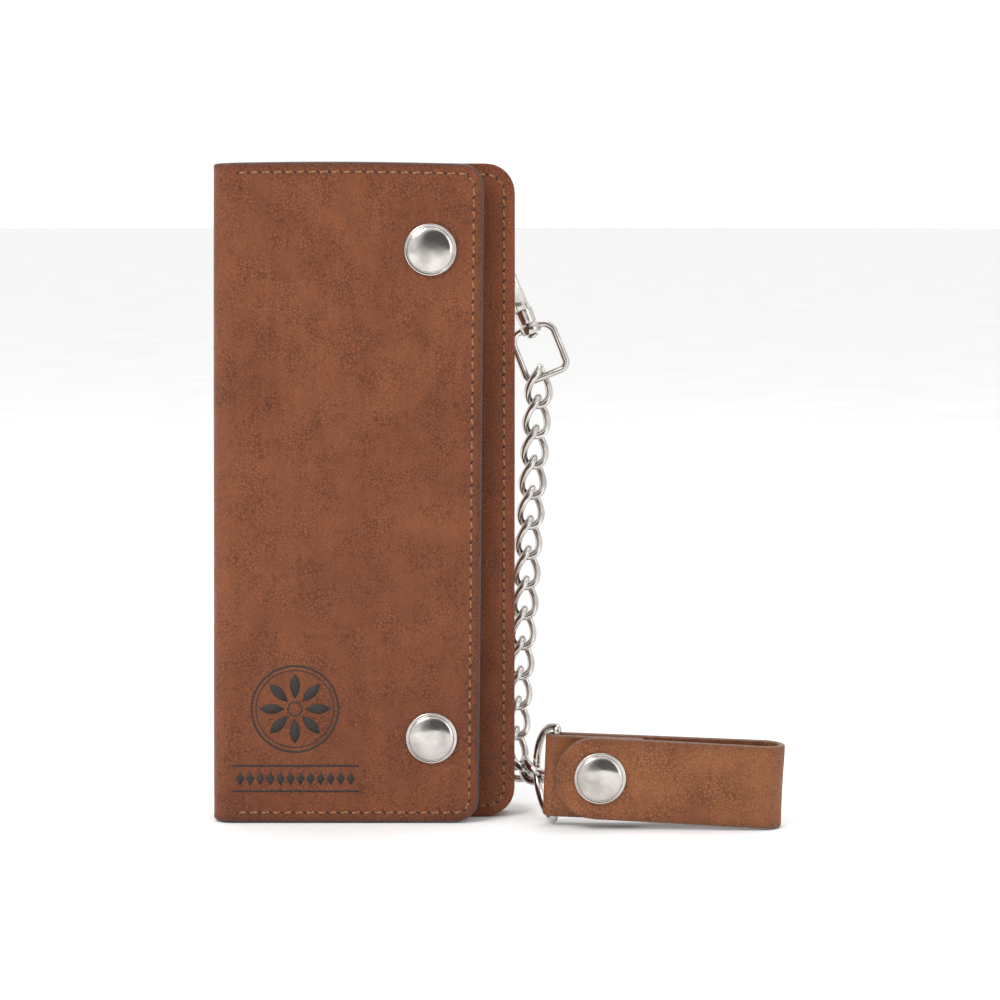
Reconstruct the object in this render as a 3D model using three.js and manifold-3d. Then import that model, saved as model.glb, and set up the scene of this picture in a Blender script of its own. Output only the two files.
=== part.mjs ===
// A long two-fold chain wallet standing on its lower edge, with its snap hook, chain and belt strap.
// Millimetres, +Z up, +X to the wearer's right, front towards -Y.
// The origin is the middle of the back cover's lower edge, halfway through its leather.
import * as THREE from "three";
import { mergeVertices } from "three/addons/utils/BufferGeometryUtils.js";
import Module from "manifold-3d";

const wasm = await Module();
wasm.setup();

// ---- Driving dimensions ----

const GAP = 0.3; // between neighbouring pieces

// Cover
const COVER_HEIGHT = 191;
const COVER_WIDTH = 87.2;
const WALLET_DEPTH = 20; // closed, outer face to outer face
const COVER_LEATHER = 1.8;
const FOLD_RADIUS = 5; // outer radius of the two folds beside the spine
const FLAP_SETBACK = 9.6; // the flap's free edge stops this far short of the back's
const FLAP_CORNER = 7;
const BACK_CORNER = 8.5;

// Inner leather, each depth measured back from the flap's outer face
const PANEL_LEFT_INSET = 5; // from the spine's outer face to the inner panels
const CARD_LEATHER = 0.8;
const CARD_REACHES = [12, 6, 0]; // right-hand edges of the three card panels, where the slots open
const CARD_LEFT = -36;
const CARD_LOW = 8;
const CARD_HIGH = 148;
const COIN_FRONT_DEPTH = 9;
const COIN_FRONT_LEATHER = 1.2;
const COIN_BACK_DEPTH = 12.4;
const COIN_BACK_LEATHER = 0.8;
const DIVIDER_LEATHER = 0.8;
const DIVIDER_LOWER = 5; // the bill divider's upper edge sits this much below the cover's
const WELT_WIDTH = 3;

// Coin-pocket zip
const ZIP_X = -20;
const ZIP_LOW = 22;
const ZIP_LENGTH = 150;
const ZIP_SLOT = 6;
const ZIP_TAPE_WIDTH = 9;
const ZIP_TAPE = 0.6;
const ZIP_TOOTH_WIDTH = 1.4;
const ZIP_TOOTH_GAP = 1.2; // between the two rows, where the slider's wedge runs
const SLIDER_LENGTH = 9;
const SLIDER_WIDTH = 7;
const SLIDER_PLATE = 1.2;
const PULLER_LENGTH = 20;
const PULLER_WIDTH = 5;
const PULLER_SHEET = 0.8;

// Press studs
const SNAP_CAP_RADIUS = 7.5;
const SNAP_CAP_RISE = 2.4;
const SNAP_SOCKET_RADIUS = 6.2;
const SNAP_KNOB_RADIUS = 2;
const SNAP_BORE_CLEARANCE = 0.5;
const SNAP_FLANGE_RADIUS = 5.2;
const SNAP_POST_RADIUS = 1.4;
const SNAP_INSET = 14.6; // from the flap's free edge to a snap's centre
const SNAP_HEIGHTS = [25, 166.5];

// Chain anchor on the back cover
const ANCHOR_FROM_EDGE = 9.1; // middle of the anchor to the back's free edge
const ANCHOR_BAR_Z = 181;
const TAB_WIDTH = 11;
const TAB_LEATHER = 1.4;
const TAB_LENGTH = 18;
const RIVET_RADIUS = 1.2;
const RIVET_HEAD = 3;
const RIVET_FROM_TAB_END = 5;
const ANCHOR_WIRE = 2.4;
const ANCHOR_REACH = 12; // bar to the far wire, centre to centre
const ANCHOR_TIP_DEG = 66; // how far the ring stands out from the back

// Snap hook, its own axis running from the swivel up to the crown
const HOOK_LEAN_DEG = 22;
const HOOK_LENGTH = 36.8; // swivel to the anchor ring's wire
const HOOK_BOW_RADIUS = 5.1; // centre line of the crown
const HOOK_BOW_WIDTH = 3.6;
const HOOK_THICKNESS = 4.8;
const HOOK_NECK_RADIUS = 1.9;
const HOOK_TIP_LENGTH = 5;
const CROWN_PLAY = 1.6; // anchor ring's wire to the inside of the crown
const PIVOT_RADIUS = 0.8;
const GATE_WIDTH = 2.4;
const GATE_THICKNESS = 2.2;
const SHANK_RADIUS = 1.1;
const EYE_WIRE = 2.2;
const EYE_BOSS_RADIUS = 3.1;
const EYE_BOSS_HALF = 1.4;
const EYE_HALF_WIDTH = 6.4;
const EYE_LENGTH = 14.6; // swivel centre to the base bar

// Chain
const LINK_WIRE = 2.3;
const LINK_PITCH = 9.05; // from one link to the next
const LINK_HALF_WIDTH = 3.8; // centre line
const LINK_SLACK = 0.25; // between the wires of two linked ends
const EYE_SLACK = 1.1; // between the eye's bar and the first link
const BEND_SLACK = 1; // where the chain turns from hanging to level
const RING_SLACK = 1; // between the last link and the strap ring
const HANGING_LINKS = 13;
const FIRST_LINK_ON_BAR = -2.8; // from the middle of the eye's base bar
const CHAIN_DRIFT = [-7.6, -5.6]; // how far the hanging run wanders in X and Y on its way down
const LAST_RUN_HEADING_DEG = -61; // the two links that lead forward to the strap, from +X
const FIRST_LINK_TURN_DEG = 40;
const LAST_LINK_TURN_DEG = 44;
const LEVEL_RUN_FALL = 0.5; // from the hanging run's end down to the ring's bow
const LEVEL_LINK_TURNS_DEG = [-20, -24];

// Belt strap
const STRAP_WIDTH = 24;
const STRAP_LEATHER = 1.8;
const STRAP_LENGTH = 69.2; // wrap to fold, outside
const STRAP_RING_WIRE = 2.4;
const STRAP_RING_DEPTH = 19;
const STRAP_RING_TURN_DEG = 16;
const STRAP_RING_PLAY = 0.25; // between the ring's legs and the strap's edges
const STRAP_SNAP_GAP = 3.6; // tab to the layer under it, where the socket and stud sit
const STRAP_SNAP_FROM_BAR = 12.6;
const STRAP_SNAP_ABOVE_MIDDLE = 1;
const UNDER_LAYER_LENGTH = 26;
const TAB_END_FROM_BAR = -0.3;
const TAB_END_RADIUS = 11.5;

// ---- Derived places ----

const BACK_FACE = COVER_LEATHER / 2;
const FRONT_FACE = BACK_FACE - WALLET_DEPTH;
const RIGHT = COVER_WIDTH / 2;
const LEFT = -RIGHT;
const FLAP_EDGE = RIGHT - FLAP_SETBACK;
const PANEL_LEFT = LEFT + PANEL_LEFT_INSET;
const SNAP_X = FLAP_EDGE - SNAP_INSET;
const ANCHOR_X = RIGHT - ANCHOR_FROM_EDGE;
const LINK_HALF_LENGTH = (LINK_PITCH + LINK_WIRE + LINK_SLACK) / 2; // centre line
const depth = (d) => FRONT_FACE + d;
const rad = THREE.MathUtils.degToRad;

// ---- Materials ----

const finish = (color, roughness, metalness = 0) =>
  new THREE.MeshStandardMaterial({ color, roughness, metalness });
const coverLeather = finish(0x9a5f3e, 0.62);
const liningLeather = finish(0x6e4329, 0.75);
const strapLeather = finish(0xa0663f, 0.65);
const zipTape = finish(0x4a3527, 0.9);
const nickel = finish(0xc9c7c4, 0.25, 1);
const brass = finish(0xb89a5a, 0.35, 1);

// ---- Solid helpers ----

const wallet = new THREE.Group();

function solid(geometry) {
  const bare = geometry.clone();
  bare.deleteAttribute("normal");
  bare.deleteAttribute("uv");
  const merged = mergeVertices(bare, 1e-4);
  return new wasm.Manifold(
    new wasm.Mesh({
      numProp: 3,
      vertProperties: merged.attributes.position.array,
      triVerts: new Uint32Array(merged.index.array),
    }),
  );
}

function geometryOf(body) {
  const mesh = body.getMesh();
  return new THREE.BufferGeometry()
    .setAttribute("position", new THREE.BufferAttribute(new Float32Array(mesh.vertProperties), 3))
    .setIndex(new THREE.BufferAttribute(new Uint32Array(mesh.triVerts), 1));
}

function addPiece(name, shape, material, parent = wallet) {
  const geometry = shape.isBufferGeometry ? shape : geometryOf(shape);
  geometry.computeVertexNormals();
  const mesh = new THREE.Mesh(geometry, material);
  mesh.name = name;
  parent.add(mesh);
  return mesh;
}

const join = (...bodies) => bodies.reduce((sum, body) => sum.add(body));
const cut = (body, ...tools) => tools.reduce((rest, tool) => rest.subtract(tool), body);

function box(x0, x1, y0, y1, z0, z1) {
  return solid(
    new THREE.BoxGeometry(x1 - x0, y1 - y0, z1 - z0).translate(
      (x0 + x1) / 2,
      (y0 + y1) / 2,
      (z0 + z1) / 2,
    ),
  );
}

// A rectangle whose corner radii are given from lower left, anticlockwise.
function roundedShape(x0, x1, z0, z1, [a, b, c, d]) {
  const shape = new THREE.Shape();
  shape.moveTo(x0 + a, z0);
  shape.lineTo(x1 - b, z0);
  if (b) shape.absarc(x1 - b, z0 + b, b, -Math.PI / 2, 0, false);
  shape.lineTo(x1, z1 - c);
  if (c) shape.absarc(x1 - c, z1 - c, c, 0, Math.PI / 2, false);
  shape.lineTo(x0 + d, z1);
  if (d) shape.absarc(x0 + d, z1 - d, d, Math.PI / 2, Math.PI, false);
  shape.lineTo(x0, z0 + a);
  if (a) shape.absarc(x0 + a, z0 + a, a, Math.PI, 1.5 * Math.PI, false);
  return shape;
}

// An outline seen from the front (x, z), given thickness from y0 to y1.
function frontPlate(shape, y0, y1, curveSegments = 5) {
  const plate = new THREE.ExtrudeGeometry(shape, {
    depth: y1 - y0,
    bevelEnabled: false,
    curveSegments,
  });
  return solid(plate.rotateX(Math.PI / 2).translate(0, y1, 0));
}

// An outline seen from above (x, y), given height from z0 to z1.
function planPlate(points, z0, z1) {
  const plate = new THREE.ExtrudeGeometry(new THREE.Shape(points), {
    depth: z1 - z0,
    bevelEnabled: false,
  });
  return solid(plate.translate(0, 0, z0));
}

// The outline of a strip of even thickness along a line of points; a nose rounds its first end.
function stripOutline(points, thickness, nosed = false) {
  const half = thickness / 2;
  const sides = points.map((p, i) => {
    const before = points[Math.max(i - 1, 0)];
    const after = points[Math.min(i + 1, points.length - 1)];
    const along = after.clone().sub(before).normalize();
    return new THREE.Vector2(-along.y, along.x);
  });
  const left = points.map((p, i) => p.clone().addScaledVector(sides[i], half));
  const right = points.map((p, i) => p.clone().addScaledVector(sides[i], -half));
  const nose = [];
  if (nosed) {
    const start = Math.atan2(-sides[0].y, -sides[0].x);
    for (let k = 1; k < 6; k++) {
      const angle = start - (k * Math.PI) / 6;
      nose.push(
        new THREE.Vector2(
          points[0].x + half * Math.cos(angle),
          points[0].y + half * Math.sin(angle),
        ),
      );
    }
  }
  return [...left, ...right.reverse(), ...nose];
}

// Points on an arc, both ends included.
function arc(cx, cy, radius, fromDeg, toDeg, steps) {
  return Array.from({ length: steps + 1 }, (_, k) => {
    const angle = rad(fromDeg + ((toDeg - fromDeg) * k) / steps);
    return new THREE.Vector2(cx + radius * Math.cos(angle), cy + radius * Math.sin(angle));
  });
}

// A round wire swept along a closed loop; sideAt(i) is a direction across the loop's own plane.
function loopTube(points, radius, sides, sideAt) {
  const count = points.length;
  const vertices = [];
  const index = [];
  points.forEach((p, i) => {
    const along = points[(i + 1) % count].clone().sub(points[(i + count - 1) % count]).normalize();
    const across = sideAt(i).clone().addScaledVector(along, -sideAt(i).dot(along)).normalize();
    const third = new THREE.Vector3().crossVectors(along, across);
    for (let k = 0; k < sides; k++) {
      const angle = ((k + 0.5) * 2 * Math.PI) / sides;
      const v = p
        .clone()
        .addScaledVector(across, radius * Math.cos(angle))
        .addScaledVector(third, radius * Math.sin(angle));
      vertices.push(v.x, v.y, v.z);
      const here = i * sides;
      const next = ((i + 1) % count) * sides;
      const side = (k + 1) % sides;
      index.push(here + k, here + side, next + k, next + k, here + side, next + side);
    }
  });
  return solid(
    new THREE.BufferGeometry()
      .setAttribute("position", new THREE.BufferAttribute(new Float32Array(vertices), 3))
      .setIndex(index),
  );
}

// A turned piece about +Z. Its profile of [radius, height] pairs runs from the top of the axis
// outwards and down, or clockwise round a piece with a hole.
function turned(profile, segments = 20) {
  const upward = profile.map(([r, z]) => new THREE.Vector2(r, z)).reverse();
  return solid(new THREE.LatheGeometry(upward, segments).rotateX(Math.PI / 2));
}

// ---- Cover: back, spine and flap, parted at the two folds ----

const foldCentre = FOLD_RADIUS - COVER_LEATHER / 2;
const foldX = LEFT + FOLD_RADIUS;
const frontFoldY = FRONT_FACE + FOLD_RADIUS;
const backFoldY = BACK_FACE - FOLD_RADIUS;
const foldClearDeg = THREE.MathUtils.radToDeg((COVER_LEATHER / 2 + GAP + 0.1) / foldCentre);
const point = (x, y) => new THREE.Vector2(x, y);

// A cylinder along Y, for holes and posts through the leather.
function rodY(x, z, radius, y0, y1, segments = 16) {
  const rod = new THREE.CylinderGeometry(radius, radius, y1 - y0, segments);
  return solid(rod.translate(x, (y0 + y1) / 2, z));
}

const postHole = SNAP_POST_RADIUS + GAP;
const holesThrough = (y0, y1) =>
  SNAP_HEIGHTS.map((z) => rodY(SNAP_X, z, postHole, y0 - 1, y1 + 1));

function buildBackCover() {
  const line = [
    ...arc(foldX, backFoldY, foldCentre, 135 - foldClearDeg, 90, 2),
    point(RIGHT, BACK_FACE - COVER_LEATHER / 2),
  ];
  const strip = planPlate(stripOutline(line, COVER_LEATHER), 0, COVER_HEIGHT);
  const corners = [0, BACK_CORNER, BACK_CORNER, 0];
  const outline = roundedShape(LEFT - 1, RIGHT, 0, COVER_HEIGHT, corners);
  const trimmed = strip.intersect(frontPlate(outline, BACK_FACE - FOLD_RADIUS, BACK_FACE + 1));
  const rivetHole = RIVET_RADIUS + GAP;
  const rivetHeight = ANCHOR_BAR_Z - TAB_LENGTH + RIVET_FROM_TAB_END;
  return cut(trimmed, rodY(ANCHOR_X, rivetHeight, rivetHole, -COVER_LEATHER, COVER_LEATHER));
}

function buildSpine() {
  const line = [
    ...arc(foldX, backFoldY, foldCentre, 135, 180, 3),
    ...arc(foldX, frontFoldY, foldCentre, 180, 225 - foldClearDeg, 2),
  ];
  return planPlate(stripOutline(line, COVER_LEATHER, true), 0, COVER_HEIGHT);
}

function buildFlap() {
  const line = [
    ...arc(foldX, frontFoldY, foldCentre, 225, 270, 3),
    point(FLAP_EDGE, FRONT_FACE + COVER_LEATHER / 2),
  ];
  const strip = planPlate(stripOutline(line, COVER_LEATHER, true), 0, COVER_HEIGHT);
  const corners = [0, FLAP_CORNER, FLAP_CORNER, 0];
  const outline = roundedShape(LEFT - 1, FLAP_EDGE, 0, COVER_HEIGHT, corners);
  const trimmed = strip.intersect(frontPlate(outline, FRONT_FACE - 1, frontFoldY));
  return cut(trimmed, ...holesThrough(FRONT_FACE, depth(COVER_LEATHER)));
}

addPiece("back_cover", buildBackCover(), coverLeather);
addPiece("spine", buildSpine(), coverLeather);
addPiece("front_flap", buildFlap(), coverLeather);

// ---- Card panels on the flap ----

CARD_REACHES.forEach((reach, i) => {
  const near = COVER_LEATHER + GAP + i * (CARD_LEATHER + GAP);
  const outline = roundedShape(CARD_LEFT, reach, CARD_LOW, CARD_HIGH, [0, 2, 2, 0]);
  const panel = frontPlate(outline, depth(near), depth(near + CARD_LEATHER), 2);
  addPiece("card_panel_" + (i + 1), panel, liningLeather);
});

// ---- Coin pocket and bill pocket on the back ----

const panelOutline = () =>
  roundedShape(PANEL_LEFT, RIGHT, 0, COVER_HEIGHT, [0, BACK_CORNER, BACK_CORNER, 0]);
const coinInside = COIN_FRONT_DEPTH + COIN_FRONT_LEATHER;
const zipHigh = ZIP_LOW + ZIP_LENGTH;

function buildCoinFront() {
  const y0 = depth(COIN_FRONT_DEPTH);
  const y1 = depth(coinInside);
  const slot = box(ZIP_X - ZIP_SLOT / 2, ZIP_X + ZIP_SLOT / 2, y0 - 1, y1 + 1, ZIP_LOW, zipHigh);
  return cut(frontPlate(panelOutline(), y0, y1), slot, ...holesThrough(y0, y1));
}

function buildWelt() {
  const y0 = depth(coinInside + GAP);
  const y1 = depth(COIN_BACK_DEPTH - GAP);
  const inner = BACK_CORNER - WELT_WIDTH;
  const hollow = roundedShape(
    PANEL_LEFT + WELT_WIDTH,
    RIGHT - WELT_WIDTH,
    WELT_WIDTH,
    COVER_HEIGHT - WELT_WIDTH,
    [0, inner, inner, 0],
  );
  return cut(frontPlate(panelOutline(), y0, y1), frontPlate(hollow, y0 - 1, y1 + 1));
}

const billFrom = COIN_BACK_DEPTH + COIN_BACK_LEATHER + GAP;
const billTo = WALLET_DEPTH - COVER_LEATHER - GAP;

function buildGusset() {
  const inner = BACK_CORNER - WELT_WIDTH;
  const hollow = roundedShape(
    PANEL_LEFT + WELT_WIDTH,
    RIGHT - WELT_WIDTH,
    WELT_WIDTH,
    COVER_HEIGHT + 1,
    [0, inner, 0, 0],
  );
  const full = frontPlate(panelOutline(), depth(billFrom), depth(billTo));
  return cut(full, frontPlate(hollow, depth(billFrom) - 1, depth(billTo) + 1));
}

function buildDivider() {
  const inset = WELT_WIDTH + GAP;
  const middle = (billFrom + billTo) / 2;
  const corner = BACK_CORNER - inset;
  const outline = roundedShape(
    PANEL_LEFT + inset,
    RIGHT - inset,
    inset,
    COVER_HEIGHT - DIVIDER_LOWER,
    [0, corner, corner, 0],
  );
  const half = DIVIDER_LEATHER / 2;
  return frontPlate(outline, depth(middle - half), depth(middle + half));
}

addPiece("coin_pocket_front", buildCoinFront(), liningLeather);
addPiece("coin_pocket_welt", buildWelt(), liningLeather);
addPiece(
  "coin_pocket_back",
  frontPlate(panelOutline(), depth(COIN_BACK_DEPTH), depth(COIN_BACK_DEPTH + COIN_BACK_LEATHER)),
  liningLeather,
);
addPiece("bill_gusset", buildGusset(), liningLeather);
addPiece("bill_divider", buildDivider(), liningLeather);

// ---- Zip of the coin pocket ----

function buildZipTape(side) {
  const edge = ZIP_TOOTH_GAP / 2;
  const [a, b] = [edge, ZIP_TAPE_WIDTH].map((d) => ZIP_X + side * d).sort((p, q) => p - q);
  const [c, d] = [edge, edge + ZIP_TOOTH_WIDTH].map((w) => ZIP_X + side * w).sort((p, q) => p - q);
  const tapeTo = coinInside + GAP + ZIP_TAPE;
  const tape = box(a, b, depth(coinInside + GAP), depth(tapeTo), ZIP_LOW - 6, zipHigh + 6);
  const teeth = box(c, d, depth(COIN_FRONT_DEPTH + 0.4), depth(tapeTo), ZIP_LOW, zipHigh);
  return join(tape, teeth);
}

// The slider stands at the top of its run: the pocket is closed.
const sliderZ = zipHigh - SLIDER_LENGTH / 2 - 1;
const sliderFace = COIN_FRONT_DEPTH - GAP - SLIDER_PLATE;
const PULLER_PLAY = 0.25;
const BAIL_SPAN = 5;
const BAIL_WIRE = 0.9;
const pullerFrom = sliderFace - PULLER_PLAY - PULLER_SHEET;

function buildSlider() {
  const [z0, z1] = [sliderZ - SLIDER_LENGTH / 2, sliderZ + SLIDER_LENGTH / 2];
  const half = SLIDER_WIDTH / 2;
  const backFrom = coinInside + 2 * GAP + ZIP_TAPE;
  const backTo = COIN_BACK_DEPTH - GAP;
  const [x0, x1] = [ZIP_X - half, ZIP_X + half];
  const front = box(x0, x1, depth(sliderFace), depth(sliderFace + SLIDER_PLATE), z0, z1);
  const back = box(x0, x1, depth(backFrom), depth(backTo), z0, z1);
  const wedgeHalf = ZIP_TOOTH_GAP / 2 - GAP;
  const wedge = box(
    ZIP_X - wedgeHalf, ZIP_X + wedgeHalf,
    depth(sliderFace + 0.1), depth(backTo - 0.1), z0 + 1, z1,
  );
  const bailHalf = BAIL_WIRE / 2 + 0.3;
  const bailTop = pullerFrom - PULLER_PLAY - BAIL_WIRE;
  const foot = (z) =>
    box(
      ZIP_X - bailHalf, ZIP_X + bailHalf,
      depth(bailTop), depth(sliderFace + 0.1), z, z + BAIL_WIRE,
    );
  const bridge = box(
    ZIP_X - bailHalf, ZIP_X + bailHalf,
    depth(bailTop), depth(bailTop + BAIL_WIRE),
    sliderZ - BAIL_SPAN / 2, sliderZ + BAIL_SPAN / 2,
  );
  const low = foot(sliderZ - BAIL_SPAN / 2);
  const high = foot(sliderZ + BAIL_SPAN / 2 - BAIL_WIRE);
  return join(front, back, wedge, bridge, low, high);
}

function buildPuller() {
  const half = PULLER_WIDTH / 2;
  const barHalf = PULLER_SHEET / 2;
  const window = BAIL_WIRE / 2 + 2 * GAP;
  const sheet = roundedShape(
    ZIP_X - half, ZIP_X + half,
    sliderZ + barHalf - PULLER_LENGTH, sliderZ + barHalf, [2, 2, 0.4, 0.4],
  );
  const plate = frontPlate(sheet, depth(pullerFrom), depth(pullerFrom + PULLER_SHEET), 3);
  const hole = box(
    ZIP_X - window, ZIP_X + window,
    depth(pullerFrom) - 1, depth(pullerFrom + PULLER_SHEET) + 1,
    sliderZ - barHalf - BAIL_SPAN, sliderZ - barHalf,
  );
  return cut(plate, hole);
}

addPiece("zip_tape_left", buildZipTape(-1), zipTape);
addPiece("zip_tape_right", buildZipTape(1), zipTape);
addPiece("zip_slider", buildSlider(), brass);
addPiece("zip_puller", buildPuller(), brass);

// ---- Press studs ----

// Heights run outwards from the outer face of the leather that carries the cap.
// under is how far below it the layer with the stud lies, and underLeather that layer's thickness.
function addSnap(name, parent, outer, leather, under, underLeather) {
  const group = new THREE.Group();
  group.position.copy(outer);
  group.rotation.x = Math.PI / 2; // heights point to the front
  parent.add(group);
  const seat = 0.1;
  const bore = SNAP_KNOB_RADIUS + SNAP_BORE_CLEARANCE;
  const hole = SNAP_POST_RADIUS + GAP;
  const room = under - leather;
  const plate = room > 5 ? 1 : 0.5;
  const flange = room > 5 ? 0.9 : 0.7;
  const socketTop = -(leather + GAP);
  const studBase = -(under - 0.2);
  const socketBottom = studBase + flange + GAP;
  const knobTop = socketTop - plate - GAP;
  const dome = arc(0, 0, 1, 90, 12, 5).map((p) => [
    SNAP_CAP_RADIUS * p.x,
    seat + 0.3 + (SNAP_CAP_RISE - 0.3 - seat) * p.y,
  ]);
  dome[0][0] = 0;
  const cap = [
    ...dome,
    [SNAP_CAP_RADIUS, seat + 0.3],
    [SNAP_CAP_RADIUS - 0.3, seat],
    [SNAP_POST_RADIUS, seat],
    [SNAP_POST_RADIUS, socketTop - plate / 2],
    [0, socketTop - plate / 2],
  ];
  const socket = [
    [hole, socketTop],
    [SNAP_SOCKET_RADIUS, socketTop],
    [SNAP_SOCKET_RADIUS, socketTop - plate + 0.2],
    [bore + 1.7, socketTop - plate],
    [bore + 1.4, socketBottom],
    [bore, socketBottom],
    [bore, socketTop - plate],
    [hole, socketTop - plate],
    [hole, socketTop],
  ];
  const neck = SNAP_KNOB_RADIUS - 0.4;
  const stud = [
    [0, knobTop],
    [SNAP_KNOB_RADIUS - 0.5, knobTop],
    [SNAP_KNOB_RADIUS, knobTop - 0.4],
    [SNAP_KNOB_RADIUS, knobTop - 0.9],
    [neck, knobTop - 1.2],
    [neck, studBase + flange],
    [SNAP_FLANGE_RADIUS, studBase + flange - 0.2],
    [SNAP_FLANGE_RADIUS, studBase],
    [hole, studBase],
    [hole, studBase + flange - 0.3],
    [0, studBase + flange - 0.3],
  ];
  const behind = -(under + underLeather + 0.2);
  const post = [
    [0, studBase + flange - 0.6],
    [SNAP_POST_RADIUS, studBase + flange - 0.6],
    [SNAP_POST_RADIUS, behind],
    [SNAP_FLANGE_RADIUS - 1, behind],
    [SNAP_FLANGE_RADIUS - 1, behind - 0.6],
    [0, behind - 0.6],
  ];
  const pieces = { cap, socket, stud, post };
  for (const [piece, profile] of Object.entries(pieces))
    addPiece(name + "_" + piece, turned(profile), nickel, group);
}

["lower", "upper"].forEach((name, i) => {
  const outer = new THREE.Vector3(SNAP_X, FRONT_FACE, SNAP_HEIGHTS[i]);
  addSnap(name + "_snap", wallet, outer, COVER_LEATHER, COIN_FRONT_DEPTH, COIN_FRONT_LEATHER);
});

// ---- Chain anchor: a folded tab riveted to the back, with a D ring in its fold ----

// An outline given as (y, z) points, with width from x0 to x1.
function sidePlate(points, x0, x1) {
  const turn = new THREE.Matrix4().makeBasis(
    new THREE.Vector3(0, 1, 0),
    new THREE.Vector3(0, 0, 1),
    new THREE.Vector3(1, 0, 0),
  );
  const plate = new THREE.ExtrudeGeometry(new THREE.Shape(points), {
    depth: x1 - x0,
    bevelEnabled: false,
  });
  return solid(plate.applyMatrix4(turn).translate(x0, 0, 0));
}

// A cylinder along X.
function rodX(y, z, radius, x0, x1, segments = 16) {
  const rod = new THREE.CylinderGeometry(radius, radius, x1 - x0, segments);
  return solid(rod.rotateZ(Math.PI / 2).translate((x0 + x1) / 2, y, z));
}

const barPlay = 0.2;
const tabTurn = ANCHOR_WIRE / 2 + barPlay + TAB_LEATHER / 2; // centre line of the tab round the bar
const anchorBarY = BACK_FACE + GAP + TAB_LEATHER / 2 + tabTurn;
const tabLow = ANCHOR_BAR_Z - TAB_LENGTH;
const rivetZ = tabLow + RIVET_FROM_TAB_END;

function buildRingTab() {
  const line = [
    point(anchorBarY - tabTurn, tabLow),
    ...arc(anchorBarY, ANCHOR_BAR_Z, tabTurn, 180, 0, 8),
    point(anchorBarY + tabTurn, tabLow),
  ];
  const outline = stripOutline(line, TAB_LEATHER);
  const tab = sidePlate(outline, ANCHOR_X - TAB_WIDTH / 2, ANCHOR_X + TAB_WIDTH / 2);
  return cut(tab, rodY(ANCHOR_X, rivetZ, RIVET_RADIUS + GAP, 0, anchorBarY + 2 * tabTurn));
}

function buildTabRivet() {
  const outside = anchorBarY + tabTurn + TAB_LEATHER / 2 + 0.1;
  const inside = -COVER_LEATHER / 2 - 0.1;
  const head = 0.7;
  const profile = [
    [0, outside + head],
    [RIVET_HEAD - 0.6, outside + head],
    [RIVET_HEAD, outside],
    [RIVET_RADIUS, outside],
    [RIVET_RADIUS, inside],
    [RIVET_HEAD, inside],
    [RIVET_HEAD, inside - head],
    [0, inside - head],
  ];
  // Turned about Z, then laid along +Y.
  return turned(profile).rotate([-90, 0, 0]).translate([ANCHOR_X, 0, rivetZ]);
}

const tip = rad(ANCHOR_TIP_DEG);
const anchorOut = new THREE.Vector3(0, Math.sin(tip), -Math.cos(tip));
const anchorWire = new THREE.Vector3(ANCHOR_X, anchorBarY, ANCHOR_BAR_Z).addScaledVector(
  anchorOut,
  ANCHOR_REACH,
);

function buildAnchorRing() {
  const halfWidth = TAB_WIDTH / 2 + GAP + ANCHOR_WIRE / 2;
  const bar = new THREE.Vector3(ANCHOR_X, anchorBarY, ANCHOR_BAR_Z);
  const straight = ANCHOR_REACH - halfWidth;
  const flat = [
    ...arc(0, straight, halfWidth, 0, 180, 10),
    point(-halfWidth, 1.4),
    point(-halfWidth + 1.4, 0),
    point(halfWidth - 1.4, 0),
    point(halfWidth, 1.4),
  ];
  const points = flat.map((p) =>
    bar.clone().add(new THREE.Vector3(p.x, 0, 0)).addScaledVector(anchorOut, p.y),
  );
  const normal = new THREE.Vector3(0, Math.cos(tip), Math.sin(tip));
  return loopTube(points, ANCHOR_WIRE / 2, 8, () => normal);
}

addPiece("ring_tab", buildRingTab(), coverLeather);
addPiece("ring_tab_rivet", buildTabRivet(), nickel);
addPiece("anchor_ring", buildAnchorRing(), nickel);

// ---- Snap hook: its own +Z runs up its axis from the swivel, the gate faces away from the wallet ----

const lean = rad(HOOK_LEAN_DEG);
const hookAxis = new THREE.Vector3(-Math.sin(lean), 0, Math.cos(lean));
const swivel = anchorWire.clone().addScaledVector(hookAxis, -HOOK_LENGTH);
const hook = new THREE.Group();
hook.position.copy(swivel);
hook.rotation.y = -lean;
wallet.add(hook);

const crownInside = HOOK_BOW_RADIUS - HOOK_BOW_WIDTH / 2;
const crownZ = HOOK_LENGTH + ANCHOR_WIRE / 2 + CROWN_PLAY - crownInside;
const tipZ = crownZ - HOOK_TIP_LENGTH;
const neckFrom = EYE_BOSS_HALF + GAP;
const blockFrom = neckFrom + 3.6;
const blockTo = blockFrom + 7;
const pivotY = HOOK_BOW_RADIUS - 1.7;
const pivotZ = blockTo - 2.2;
const hookHalf = HOOK_THICKNESS / 2;
const gateHalf = GATE_THICKNESS / 2;
const pivotHole = PIVOT_RADIUS + GAP;
const knuckle = 1.9; // radius of the gate round its pin
const springFrom = 0.35; // the spring's place beside the gate, from the middle of the hook

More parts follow.
